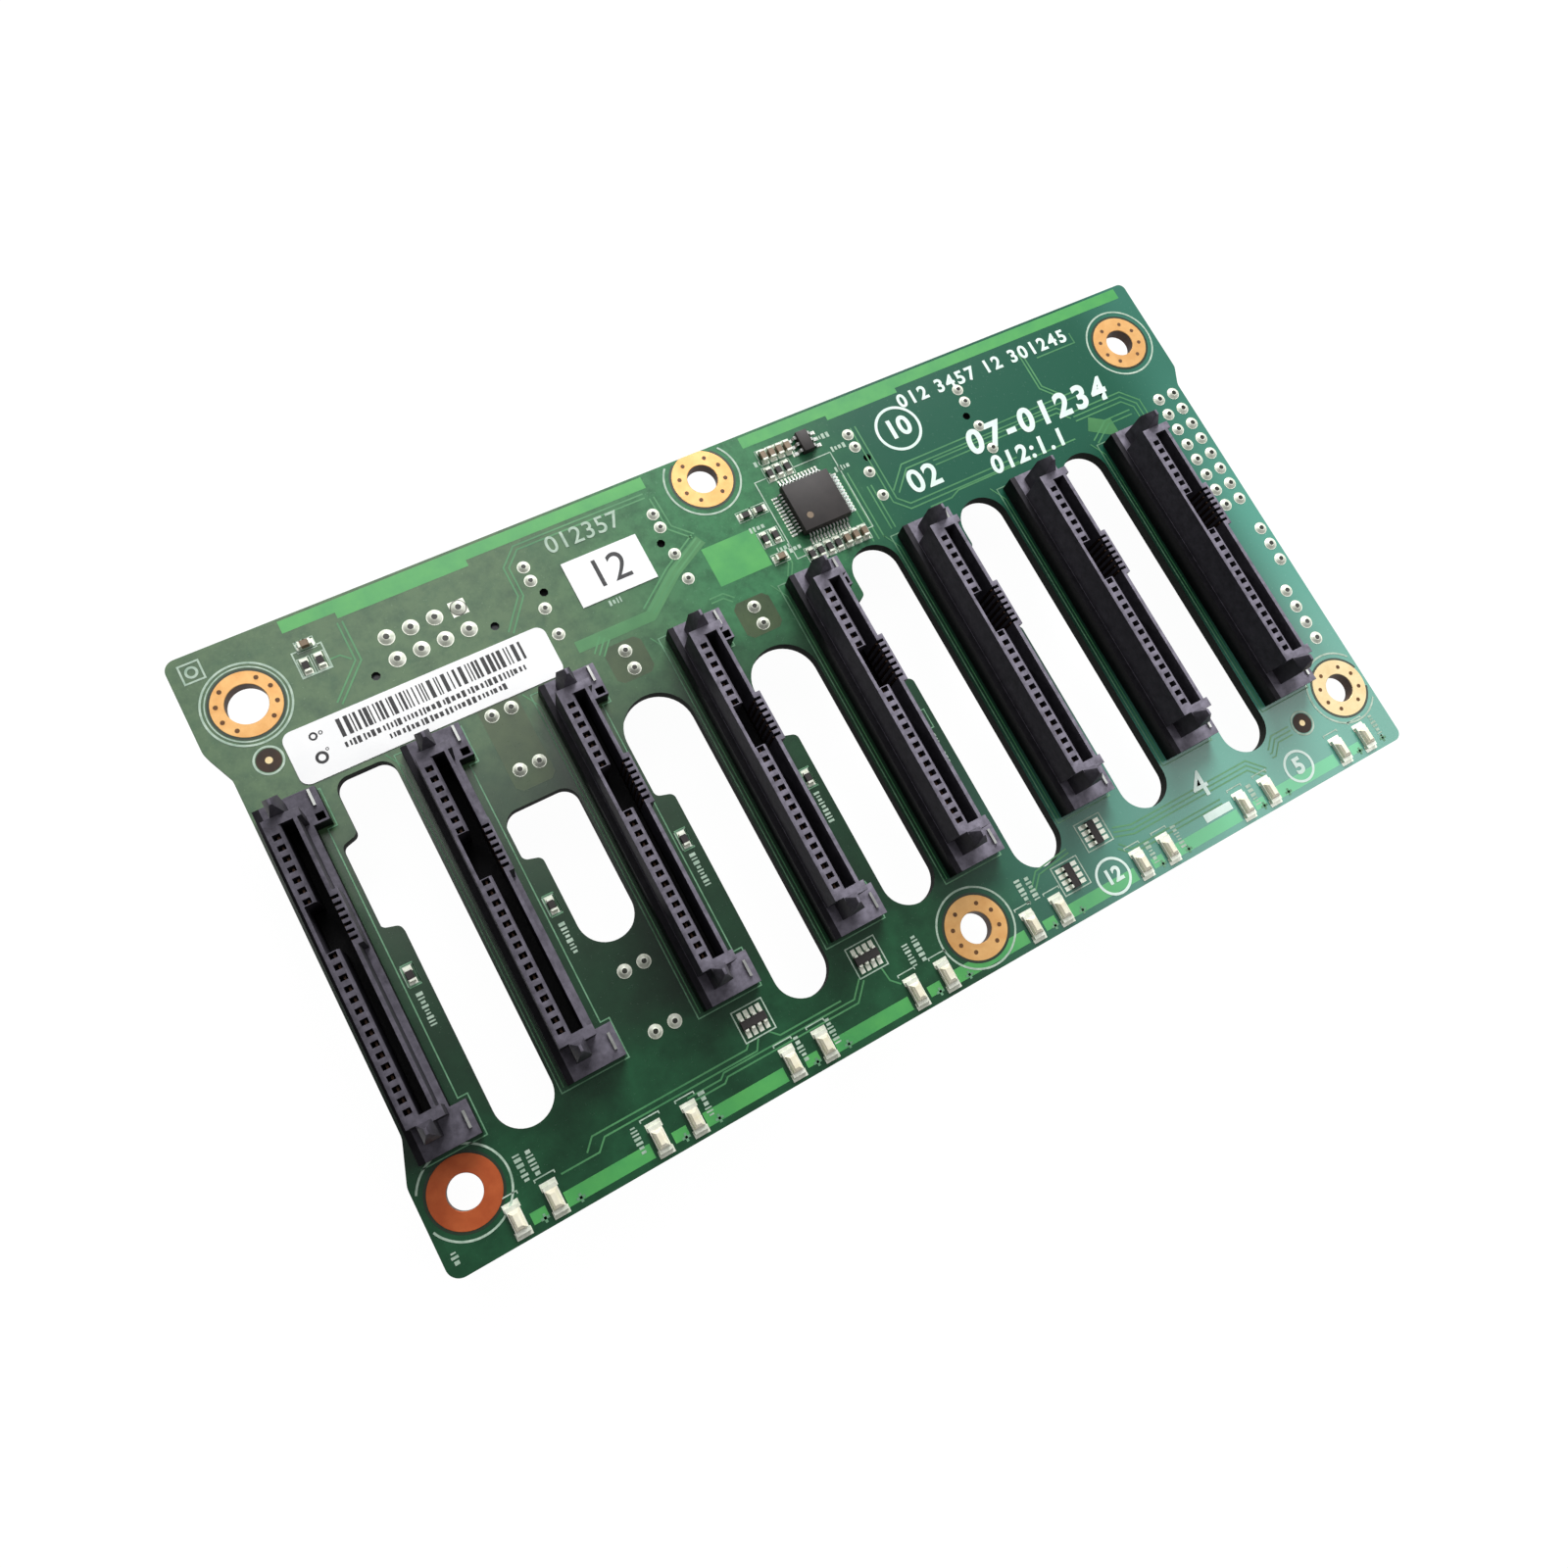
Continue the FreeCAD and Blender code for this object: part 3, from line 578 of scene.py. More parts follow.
# %% Traces and feeds
# Each route: its places (bay, right, rear), and the number of traces, their pitch and width
# where they differ from one trace, 0.6 and 0.2 mm.
ROUTES = [
    ([(1, 14.0, -44.4), (1, 15.2, -43.1), (3, 0.6, -43.1), (3, 1.2, -42.5)],),
    ([(1, 10.6, -45.0), (1, 15.2, -45.0), (1, 16.4, -43.8), (3, 1.6, -43.8), (3, 2.4, -42.6)],),
    ([(2, 9.2, -44.9), (2, 13.6, -44.9), (2, 14.2, -44.4), (3, 14.6, -44.4), (4, -0.6, -42.5)], 2),
    ([(3, 3.8, -42.5), (3, 4.8, -43.5), (3, 13.0, -43.5)],),
    ([(4, 2.2, -42.5), (4, 2.4, -44.2), (4, 3.4, -45.2)],),
    ([(5, 7.0, -43.2), (5, 8.6, -41.6), (5, 13.6, -41.0)], 2, 0.55),
    ([(6, 3.0, -43.6), (6, 4.4, -45.0), (6, 9.0, -45.0), (7, 2.0, -45.0)], 2),
    ([(6, 3.4, -41.8), (6, 6.0, -42.6), (7, 8.0, -42.6), (7, 10.0, -44.6)], 3),
    ([(7, 12.0, -42.8), (8, -4.6, -42.8), (8, -3.2, -41.4), (8, -0.4, -41.4)], 3),
    ([(1, 11.6, 13.6), (1, 15.6, 17.6), (1, 15.6, 22.8)], 2),
    ([(1, 12.8, 19.0), (1, 14.0, 19.0), (1, 15.0, 18.0)], 1, 0.5, 0.18),
    ([(2, 15.8, 13.4), (3, 1.9, 17.2), (3, 1.9, 21.2), (3, 4.0, 23.2), (4, 4.6, 23.2)], 2),
    ([(4, 5.4, 22.6), (4, 5.6, 18.0), (4, 7.8, 15.8)], 2),
    ([(3, 7.0, 6.4), (3, 8.6, 8.2)], 3),
    ([(3, 15.0, 9.0), (4, 3.0, 12.6), (4, 8.0, 15.4)], 3, 0.7, 0.22),
    ([(4, 5.6, 7.0), (4, 7.4, 7.0), (4, 8.4, 6.0)], 2),
    ([(4, 16.4, 5.8), (5, 0.4, 7.4), (5, 0.4, 9.0)], 2, 0.5, 0.18),
    ([(5, 12.8, 5.6), (5, 12.8, 15.6)], 3, 0.8),
    ([(5, 15.4, 6.2), (5, 15.4, 12.8)], 2),
    ([(6, 0.6, 21.2), (6, 0.6, 9.6), (6, 2.2, 8.0), (7, 2.6, 8.0)], 2, 0.7),
    ([(6, 1.4, 10.6), (6, 4.2, 13.4), (7, 16.0, 13.4)], 2, 0.8),
    ([(6, 4.6, 6.8), (6, 8.0, 6.8), (6, 9.4, 7.4), (7, 12.0, 7.4)],),
    ([(6, 8.4, 12.2), (7, 11.8, 12.2), (7, 13.4, 10.6)], 2, 0.7),
    ([(7, 11.6, 22.0), (7, 11.6, 16.2), (7, 13.8, 13.8)], 2, 0.5, 0.22),
    ([(7, 13.6, 20.4), (8, 3.2, 20.4), (8, 3.2, 22.0)],),
    ([(7, 13.6, 10.4), (8, 4.8, 10.4), (8, 6.6, 8.6), (8, 6.6, 5.8)], 3, 0.7),
    ([(7, 14.6, 5.8), (8, 0.8, 7.8), (8, 5.0, 7.8)], 2, 0.7),
    ([(8, 6.2, -12.0), (8, 8.2, -14.0), (8, 8.2, -24.0)], 2, 0.7),
]
ROUTES += [([(bay, -2.15, -37.0), (bay, -2.15, 3.6), (bay, -3.4, 5.8)], 1, 0.5, 0.14)
           for bay in BAYS[1:]]


def bundle(target, places, count=1, pitch=0.6, width=0.2):
    """Traces side by side along a route of places on the board."""
    points = [at(*place) for place in places]
    across = mitres(points)
    for n in range(count):
        shift = (n - (count - 1) / 2) * pitch * MM
        target.ribbon([point + way * shift for point, way in zip(points, across)], width)


traces, feeds = Flat(0.018), Flat(0.014)
for route in ROUTES:
    bundle(traces, *route)
traces.build("copper_traces", TRACE)
for places, width in (([(3, 5.0, 8.4), (3, 15.0, 8.4), (4, 3.4, 12.4), (4, 8.4, 15.0)], 1.5),
                      ([(7, 15.0, 8.6), (7, 17.6, 7.0), (8, 1.6, 7.0)], 2.2)):
    feeds.path(places, width)
feeds.build("power_feeds", FEED)

# %% [markdown]
# Under the first four cans the board has no copper, which leaves browner patches, cut off at
# their corners.

# %% Bare patches
PATCH_CUT = 0.7 * MM
bare = Flat(0.006)
for first, last in ((1, 2), (3, 3), (4, 4)):
    (x0, _, _), (x1, y1, _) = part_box("capacitor_%d" % first)
    y0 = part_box("capacitor_%d" % last)[0][1]
    bare.polygon([(x0, y0 + PATCH_CUT), (x0 + PATCH_CUT, y0), (x1 - PATCH_CUT, y0),
                  (x1, y0 + PATCH_CUT), (x1, y1 - PATCH_CUT), (x1 - PATCH_CUT, y1),
                  (x0 + PATCH_CUT, y1), (x0, y1 - PATCH_CUT)])
bare.build("bare_patches", BARE)

# %% [markdown]
# Raised pieces are made of blocks and of turned shapes: a profile of radii and heights, carried
# round a middle. Every built piece gets clean normals and keeps its sharp edges.


# %% Solid pieces
class Solid:
    """Faces of one raised piece, in metres."""

    def __init__(self):
        self.points, self.faces = [], []

    def box(self, low, high, taper=0.0):
        """Block, its top smaller all round by the taper."""
        start = len(self.points)
        for z, inset in ((low[2], 0.0), (high[2], taper)):
            x0, y0, x1, y1 = low[0] + inset, low[1] + inset, high[0] - inset, high[1] - inset
            self.points += [(x0, y0, z), (x1, y0, z), (x1, y1, z), (x0, y1, z)]
        self.faces += [tuple(start + k for k in face) for face in (
            (3, 2, 1, 0), (4, 5, 6, 7), (0, 1, 5, 4), (1, 2, 6, 5), (2, 3, 7, 6), (3, 0, 4, 7))]

    def turn(self, middle, profile, sides, limit_y=math.inf):
        """Turned shape; the profile holds pairs of radius and height."""
        start, count = len(self.points), len(profile)
        for n in range(sides):
            angle = 2 * math.pi * n / sides
            self.points += [(middle[0] + radius * math.cos(angle),
                             min(middle[1] + radius * math.sin(angle), limit_y), z)
                            for radius, z in profile]
        for n in range(sides):
            for k in range(count - 1):
                a, b = start + n * count + k, start + (n + 1) % sides * count + k
                self.faces.append((a, b, b + 1, a + 1))

    def build(self, name, made, slot, node=None, smooth=30.0):
        """Piece that may stand in for a CAD node, sharp where it bends more than the angle."""
        mesh = bpy.data.meshes.new(name)
        mesh.from_pydata(self.points, [], self.faces)
        build = bmesh.new()
        build.from_mesh(mesh)
        bmesh.ops.remove_doubles(build, verts=build.verts, dist=1e-7)
        bmesh.ops.recalc_face_normals(build, faces=build.faces)
        build.to_mesh(mesh)
        build.free()
        mesh.shade_smooth()
        mesh.set_sharp_from_angle(angle=math.radians(smooth))
        thing = settle(name, mesh, made)
        if node:
            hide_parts(node)
        return thing


print("limit for turned pieces at the rear edge:", round(board_high[1] / MM, 2), "mm")

# %% [markdown]
# The screw rings are plated through: gold on the face, down the wall of the hole and on the back.
# A lathe profile shaped like a C gives all three surfaces in one turn. Small vias tie each ring to
# the ground layers; one ring at the front is bare copper, and one has paler gold.

# %% Screw rings
LAND, LAND_LIFT, LAND_BEND, LAND_SLOPE = 4.0, 0.05 * MM, 0.06 * MM, 0.03 * MM
PLATING = 0.04
SMALL_VIAS = ((1.55, 2.55), (2.8, 1.0))
# Each ring: its middle, hole radius, finish, and where its vias stand in one quarter.
RINGS = {
    "rear_left": (at(1, 2.5, 17.85), 2.45, GOLD, ((2.13, 2.53), (3.17, 0.98))),
    "rear_middle": (at(4, 12.6, 22.35), 2.0, GOLD, SMALL_VIAS),
    "rear_right": (at(8, 9.6, 17.8), 2.0, GOLD, SMALL_VIAS),
    "front_left": (at(1, 1.05, -41.7), 2.0, COPPER, ()),
    "front_middle": (at(4, 15.05, -43.75), 2.0, GOLD, SMALL_VIAS),
    "front_right": (at(8, 9.8, -39.6), 2.0, PALE_GOLD, SMALL_VIAS),
}
moats, ring_print, vias = Flat(0.012), Flat(0.030), Flat(0.070)
for name, (middle, hole, made, quarter) in RINGS.items():
    outer, inner = LAND * MM, (hole - PLATING) * MM
    top, under = TOP + LAND_LIFT, BACK - LAND_LIFT
    profile = [(outer, TOP), (outer - LAND_SLOPE, top), (inner + LAND_BEND, top),
               (inner, top - LAND_BEND), (inner, under + LAND_BEND), (inner + LAND_BEND, under),
               (outer - LAND_SLOPE, under), (outer, BACK)]
    ring = Solid()
    ring.turn(middle, profile, 64, board_high[1])
    land = ring.build("screw_ring_" + name, made, "contact_gold").data
    land.materials.append(BARREL)
    for face in land.polygons:
        inside = (face.center.xy - middle).length < outer * 0.8
        face.material_index = 1 if inside and abs(face.normal.z) < 0.3 else 0
    moats.ring(middle, LAND, LAND + 0.3)
    ring_print.ring(middle, LAND + 0.85, LAND + 1.1)
    for dx, dy in quarter:
        for side in ((-1, -1), (-1, 1), (1, -1), (1, 1)):
            vias.disc(middle + Vector((side[0] * dx, side[1] * dy)) * MM, 0.28, 12)
ring_print.ring(RINGS["rear_left"][0], LAND + 0.42, LAND + 0.58)
moats.build("ring_moats", MOAT)
vias.build("ring_vias", VIA, "contact_gold")
ring_print.build("ring_print", INK)

# %% [markdown]
# The white print tells the assembler where things go: an outline round each receptacle, frames
# round chips, marks beside the lamps. Words are left out; short bars of uneven width stand where a
# small code would be.

# %% Thin print on the face
LAMP_COLUMNS = (4.6, 8.95)
FIDUCIALS = (at(1, 2.05, 10.7), at(8, 1.8, -41.3))
FRONT_CODES = ((1, 7.2, -42.4), (1, 8.5, -42.4), (2, 2.4, -46.0), (2, 10.8, -46.0),
               (3, 6.2, -46.0), (3, 10.4, -46.0), (4, 6.0, -42.7), (4, 7.4, -42.7),
               (5, 5.6, -42.9), (5, 6.9, -42.9), (6, 6.6, -46.2), (6, 11.0, -46.2),
               (7, 6.6, -46.2), (8, 11.4, -46.4))
CHIP_CODES = ((5, 3.6, 21.4), (5, 13.0, 21.6), (5, 14.2, 19.4), (5, 13.2, 16.6), (4, 15.6, 13.4),
              (5, 0.6, 9.6), (5, 2.0, 9.0), (3, 12.0, 11.9), (1, 10.9, 22.2))
random.seed(4)
ink, faint = Flat(0.030), Flat(0.030)


def code_marks(middle, length, height, upright=False):
    """Row of small bars in place of a part's code."""
    gone = 0.0
    while gone < length:
        wide = random.choice((0.18, 0.3, 0.42))
        tall = height * random.choice((0.7, 1.0, 1.0))
        along = (gone + wide / 2 - length / 2) * MM
        if upright:
            ink.block((middle[0], middle[1] + along), tall, wide)
        else:
            ink.block((middle[0] + along, middle[1]), wide, tall)
        gone += wide + 0.22


for bay in BAYS:
    # The first receptacle stands at the edge, so its outline stays open at the left.
    left = -2.6 if bay > 1 else -1.95
    outline = ((left, 5.3), (5.6, 5.3), (5.6, 0.6), (4.5, 0.6), (4.5, -32.6), (5.6, -32.6),
               (5.6, -37.5), (left, -37.5))
    faint.path([(bay, *point) for point in outline], 0.15, closed=bay > 1)
    if bay < 8:
        faint.frame(at(bay, 5.65, -18.3), 1.3, 2.6, 0.14)
        code_marks(at(bay, 5.6, -22.4), 4.0, 0.75, upright=True)
    for x in LAMP_COLUMNS:
        ink.path([(bay, x - 1.15, -44.5), (bay, x - 1.15, -44.2),
                  (bay, x + 1.15, -44.2), (bay, x + 1.15, -44.5)], 0.14)
    for x in (7.2, 11.4):
        faint.path([(bay, x - 0.5, -48.2), (bay, x + 0.5, -48.2)], 0.3)
        faint.path([(bay, x, -48.7), (bay, x, -47.7)], 0.3)
for place in FRONT_CODES:
    code_marks(at(*place), 3.0, 0.8, upright=True)
code_marks(at(1, -2.6, -47.2), 1.4, 0.8, upright=True)
for bay, x, y in ((3, 2.85, -40.6), (4, 1.25, -40.5), (5, 12.3, -43.9), (6, 1.0, -40.6)):
    ink.frame(at(bay, x, y), 3.9, 3.8, 0.16)
ink.frame(at(5, 7.25, 13.35), 11.4, 11.6, 0.14)
ink.frame(at(1, -1.36, 23.84), 2.3, 2.3, 0.22)
ink.ring(at(1, -1.36, 23.84), 0.45, 0.75, 24)
ink.frame(at(1, 10.95, 19.7), 3.5, 3.3, 0.18)
for place in CHIP_CODES:
    code_marks(at(*place), 1.8, 0.75)
for middle in FIDUCIALS:
    ink.ring(middle, 1.5, 1.75, 36)
ink.build("face_print", INK)

# %% [markdown]
# Bolder print marks the board itself: rings that hold numbers, and two bars. Two gold dots on bare
# ground let the machine that places the parts find its way.

# %% Bold print and fiducials
RING_NUMBER_PLACES = (at(6, 6.4, 18.6), at(6, 0.33, -46.5), at(8, -2.2, -46.0))
bold, grounds, dots = Flat(0.032), Flat(0.012), Flat(0.024)
for middle, inner, outer in zip(RING_NUMBER_PLACES, (2.9, 2.1, 1.9), (3.3, 2.45, 2.25)):
    bold.ring(middle, inner, outer, 48)
bold.block(at(5, 11.6, 13.2), 0.7, 5.6)
bold.block(at(7, 0.8, -46.0), 4.4, 1.1)
bold.build("bold_print", BOLD_INK)
faint.build("outline_print", FAINT_INK)
for middle in FIDUCIALS:
    grounds.disc(middle, 1.4, 36)
    dots.disc(middle, 0.42, 20)
grounds.build("fiducial_grounds", GROUND)
dots.build("fiducial_dots", PALE_GOLD, "contact_gold")

# %% [markdown]
# The moulded housings have small radii on all their edges, which catch the light as thin bright
# lines. The CAD solids have sharp edges, so each housing is copied, its doubled corners are merged
# and a bevel goes round every edge. The copy then stands in for the sharp one.


# %% Rounded copies
# Edges that bend less than the first angle go, and those over the second get a bevel.
FLAT_ANGLE, SHARP_ANGLE, SMOOTH_ANGLE = (math.radians(angle) for angle in (0.5, 25, 40))
SAME_CORNER = 2e-6


def rounded_copy(node, name, width, made):
    """Copy of a node with a bevel of the width in millimetres."""
    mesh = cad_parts[node].data.copy()
    build = bmesh.new()
    build.from_mesh(mesh)
    bmesh.ops.remove_doubles(build, verts=build.verts, dist=SAME_CORNER)
    bmesh.ops.dissolve_limit(build, angle_limit=FLAT_ANGLE, verts=build.verts, edges=build.edges)
    sharp = [edge for edge in build.edges
             if len(edge.link_faces) == 2 and edge.calc_face_angle() > SHARP_ANGLE]
    bmesh.ops.bevel(build, geom=sharp, offset=width * MM, segments=2, profile=0.5,
                    affect="EDGES", clamp_overlap=True)
    bmesh.ops.triangulate(build, faces=build.faces)
    build.to_mesh(mesh)
    build.free()
    mesh.materials.clear()
    mesh.shade_smooth()
    mesh.set_sharp_from_angle(angle=SMOOTH_ANGLE)
    thing = settle(name, mesh, made)
    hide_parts(node)
    return thing


for bay in BAYS:
    housing = rounded_copy("drive_receptacle_%d" % bay, "housing_%d" % bay, 0.05, HOUSING)
print("triangles in one housing:", len(housing.data.polygons))
rounded_copy("controller_chip", "controller_body", 0.06, CHIP)
rounded_copy("regulator_chip", "regulator_body", 0.06, CHIP)

# %% [markdown]
# Some nodes are groups of like pieces. To put finer detail on each, the group is split into its
# loose solids, and each gives the box that the finer piece is built in.


# %% Find and fill the boxes of loose solids
def islands(node):
    """Lowest and highest corner of each loose solid."""
    build = bmesh.new()
    build.from_mesh(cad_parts[node].data)
    bmesh.ops.remove_doubles(build, verts=build.verts, dist=1e-6)
    left, boxes = set(build.verts), []
    while left:
        seen, edge = set(), [left.pop()]
        while edge:
            here = edge.pop()
            seen.add(here)
            for link in here.link_edges:
                other = link.other_vert(here)
                if other in left:
                    left.discard(other)
                    edge.append(other)
        boxes.append([Vector([pick(v.co[k] for v in seen) for k in range(3)])
                      for pick in (min, max)])
    build.free()
    return sorted(boxes, key=lambda pair: (round(pair[0].x, 5), pair[0].y))


def long_axis(low, high):
    return 0 if high.x - low.x > high.y - low.y else 1


def turned(axis, along, across):
    """X and Y of a pair told along and across an axis."""
    return (along, across) if axis == 0 else (across, along)


def end_of(low, high, axis, side, length):
    """Box at one end of a box: side 0 is the low end, side 1 the high one."""
    first, last = low.copy(), high.copy()
    if side:
        first[axis] = high[axis] - length
    else:
        last[axis] = low[axis] + length
    return first, last


def tinned_end(ends, pads, box, axis, side, length, taper, shift, pad_size):
    """One end of a part with its pad, which stands out by the shift."""
    first, last = end_of(*box, axis, side, length)
    ends.box(first, last, taper)
    centre = (first + last) / 2
    centre[axis] += shift if side else -shift
    pads.block(centre, *turned(axis, *pad_size))


joint_boxes = islands("solder_joints")
print("joints:", len(joint_boxes))

# %% [markdown]
# A solder joint is a little hill with hollow sides, drawn up round the tip of the lead. That
# profile is turned at every place where the frame has a plain cone.

# %% Solder joints and lead tips
HILL_SHARE = 0.6
HILL = ((0.98, 0.0), (0.882, 0.2), (0.7252, 0.46), (0.588, 0.74), (0.49, 0.93), (0.4116, 0.99),
        (0.0, 1.0))
TIP = ((0.4, 0.97), (0.38, 1.04), (0.0, 1.06))
CONE_SIDES = 5
hills, tips, pads = Solid(), Solid(), Flat(0.020)
for low, high in joint_boxes:
    middle = (low + high) / 2
    radius = (high.y - low.y) / 2 / math.sin(2 * math.pi / CONE_SIDES)
    height = (high.z - low.z) * HILL_SHARE
    for piece, shape, sides in ((hills, HILL, 24), (tips, TIP, 14)):
        piece.turn(middle, [(radius * r, low.z + height * z) for r, z in shape], sides)
    pads.ring(middle, radius / MM * 0.9, radius / MM + 0.05, 28)
hills.build("solder_hills", SOLDER, "solder", "solder_joints", 60)
# The lead tips are dark as painted reflection.
tips.build("lead_tips", DARK_TIP_REFLECTION, "tinned_metal")
header_pins = [low + high for low, high in joint_boxes if high.x < column(2, 14)]
first_pin = max(header_pins, key=lambda p: p.x + p.y) / 2
pads.block(first_pin, 2.0, 2.0)
print("square pad of the first pin at", [round(v / MM, 2) for v in first_pin])
pads.build("joint_pads", SOLDER, "solder")

# %% [markdown]
# Chip resistors and capacitors are a coloured body between two tinned ends, each end wetted to its
# pad by a small slope of solder.

# %% Chip parts
BODY_INSET = 0.02 * MM
# Shares of a part's length: the body's cut and the tin at each end, the pad and its shift.
BODY_CUT, END_SHARE, PAD_SHARE, PAD_SHIFT = 0.2, 0.22, 0.42, 0.08
PAD_ROOM, BORDER_ROOM, BORDER_LINE = 0.16, 0.62, 0.1


def chip_parts(node, name, body, slot):
    bodies, ends, pad, border = Solid(), Solid(), Flat(0.022), Flat(0.030)
    for low, high in islands(node):
        border.frame((low + high) / 2, (high.x - low.x) / MM + BORDER_ROOM,
                     (high.y - low.y) / MM + BORDER_ROOM, BORDER_LINE)
        axis = long_axis(low, high)
        span = high[axis] - low[axis]
        inset = Vector((BODY_INSET, BODY_INSET, 0))
        inset[axis] = span * BODY_CUT
        bodies.box(low + inset, high - inset - Vector((0, 0, BODY_INSET)), BODY_INSET)
        across = (high[1 - axis] - low[1 - axis]) / MM + PAD_ROOM
        for side in (0, 1):
            tinned_end(ends, pad, (low, high), axis, side, span * END_SHARE, 0.05 * MM,
                       span * PAD_SHIFT, (span * PAD_SHARE / MM, across))
    bodies.build(name + "_bodies", body, slot, node)
    ends.build(name + "_ends", SOLDER, "solder")
    pad.build(name + "_pads", SOLDER, "solder")
    border.build(name + "_borders", INK)


chip_parts("chip_resistors", "resistor", CHIP, "chip_black")
chip_parts("chip_capacitors", "ceramic", CERAMIC, "ceramic_tan")

# %% [markdown]
# A resistor array packs four resistors in one ceramic bar, with four tinned ends on each long side.

# %% Resistor arrays
ARRAY_INSET, ARRAY_END, ARRAY_PAD_SHIFT = 0.25 * MM, 0.42 * MM, 0.45 * MM
# Shares of the pitch: half a tinned end, and a pad.
HALF_END, ARRAY_PAD = 0.31, 0.7
for number in range(1, 5):
    node = "resistor_array_%d" % number
    low, high = (Vector(corner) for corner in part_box(node))
    axis = long_axis(low, high)
    bar, ends, pad = Solid(), Solid(), Flat(0.022)
    inset = Vector((ARRAY_INSET, ARRAY_INSET, 0))
    inset[axis] = 0
    bar.box(low + inset, high - inset, 0.04 * MM)
    pitch = (high[axis] - low[axis]) / 4
    for n in range(4):
        middle = low[axis] + pitch * (n + 0.5)
        first, last = low.copy(), high.copy()
        first[axis], last[axis] = middle - pitch * HALF_END, middle + pitch * HALF_END
        for side in (0, 1):
            tinned_end(ends, pad, (first, last), 1 - axis, side, ARRAY_END, 0.04 * MM,
                       ARRAY_PAD_SHIFT, (1.0, pitch * ARRAY_PAD / MM))
    bar.build(node + "_bar", CHIP, "chip_black", node)
    ends.build(node + "_ends", SOLDER, "solder")
    pad.build(node + "_pads", SOLDER, "solder")

# %% [markdown]
# The status lights are white ceramic trays with a clear lens over the die and plated ends. The
# lens rises in three steps, each smaller and more sloped than the one below.

# %% Status lights
TRAY_HEIGHT, TRAY_INSET = 0.5 * MM, Vector((0.02, 0.45, 0)) * MM
LENS_HALF = (0.66 * MM, 1.08 * MM)
LENS_STEPS = ((0.0, 0.06 * MM), (0.06 * MM, 0.12 * MM), (0.2 * MM, 0.2 * MM))
for bay in BAYS:
    trays, lenses, ends, pad = Solid(), Solid(), Solid(), Flat(0.022)
    for low, high in islands("status_lights_%d" % bay):
        rim = Vector((high.x, high.y, low.z + TRAY_HEIGHT))
        trays.box(low + TRAY_INSET, rim - TRAY_INSET, 0.03 * MM)
        middle, rise = (low + high) / 2, (high.z - rim.z) / len(LENS_STEPS)
        for k, (inset, taper) in enumerate(LENS_STEPS):
            half_x, half_y = (half - inset for half in LENS_HALF)
            lenses.box((middle.x - half_x, middle.y - half_y, rim.z + rise * k),
                       (middle.x + half_x, middle.y + half_y, rim.z + rise * (k + 1)), taper)
        for side in (0, 1):
            tinned_end(ends, pad, (low, rim), 1, side, 0.5 * MM, 0.03 * MM, 0.23 * MM,
                       (0.9, 1.86))
    trays.build("lamp_tray_%d" % bay, LAMP_BODY, "led_white", "status_lights_%d" % bay)
    lenses.build("lamp_lens_%d" % bay, LAMP_LENS, "led_white")
    ends.build("lamp_ends_%d" % bay, SOLDER, "solder")
    pad.build("lamp_pads_%d" % bay, SOLDER, "solder")

# %% [markdown]
# Each lead of the two chips leaves the body level, bends down and ends in a flat foot: the
# gull-wing shape. The plain slanted bars of the frame give its place and length.

# %% Gull-wing leads
LEAD = 0.13 * MM
FOOT_PLACE, FOOT_LENGTH, FOOT_ROOM = 0.88, 0.75, 0.08
chip_boxes = [[Vector(corner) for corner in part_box(node)]
              for node in ("controller_chip", "regulator_chip")]


def chip_of(lead):
    """Middle of the chip that a lead belongs to."""
    low, high = chip_boxes[0]
    near = abs(lead.x - (low.x + high.x) / 2) < 6 * MM and lead.y < high.y + 2 * MM
    return sum(chip_boxes[0 if near else 1], Vector()) / 2


wings, foot_pads = Solid(), Flat(0.022)
for low, high in islands("chip_leads"):
    middle = (low + high) / 2
    axis = long_axis(low, high)
    sign = 1 if middle[axis] > chip_of(middle)[axis] else -1
    start = low[axis] if sign > 0 else high[axis]
    reach, rise = (high[axis] - low[axis]) * sign, high.z - low.z
    half = (high[1 - axis] - low[1 - axis]) / 2
    path = [(0.0, rise), (0.28, rise), (0.42, rise * 0.85), (0.52, 0.22 * rise), (0.66, LEAD),
            (1.0, LEAD), (1.0, 0.0), (0.6, 0.0), (0.44, 0.1 * rise), (0.33, rise * 0.72),
            (0.24, rise - LEAD), (0.0, rise - LEAD)]
    first, count = len(wings.points), len(path)
    near, far = range(first, first + count), range(first + count, first + 2 * count)
    for side in (-half, half):
        wings.points += [(*turned(axis, start + reach * t, middle[1 - axis] + side), low.z + z)
                         for t, z in path]
    for k in range(count):
        m = (k + 1) % count
        wings.faces.append((near[k], near[m], far[m], far[k]))
    wings.faces += [tuple(near), tuple(reversed(far))]
    foot_pads.block(turned(axis, start + reach * FOOT_PLACE, middle[1 - axis]),
                    *turned(axis, FOOT_LENGTH, half * 2 / MM + FOOT_ROOM))
wings.build("gull_leads", TIN, "tinned_metal", "chip_leads")
foot_pads.build("foot_pads", SOLDER, "solder")

# %% [markdown]
# The controller has a round dimple beside its first lead. The long label carries a bar code and
# rows of small print, here only bars and dashes.

# %% Chip dimple and label bars
chip_low, chip_high = chip_boxes[0]
dimple = Flat(0.012, chip_high.z)
dimple.disc((chip_low.x + 1.7 * MM, chip_low.y + 1.9 * MM), 0.45, 24)
dimple.build("chip_dimple", CERAMIC, "chip_black")

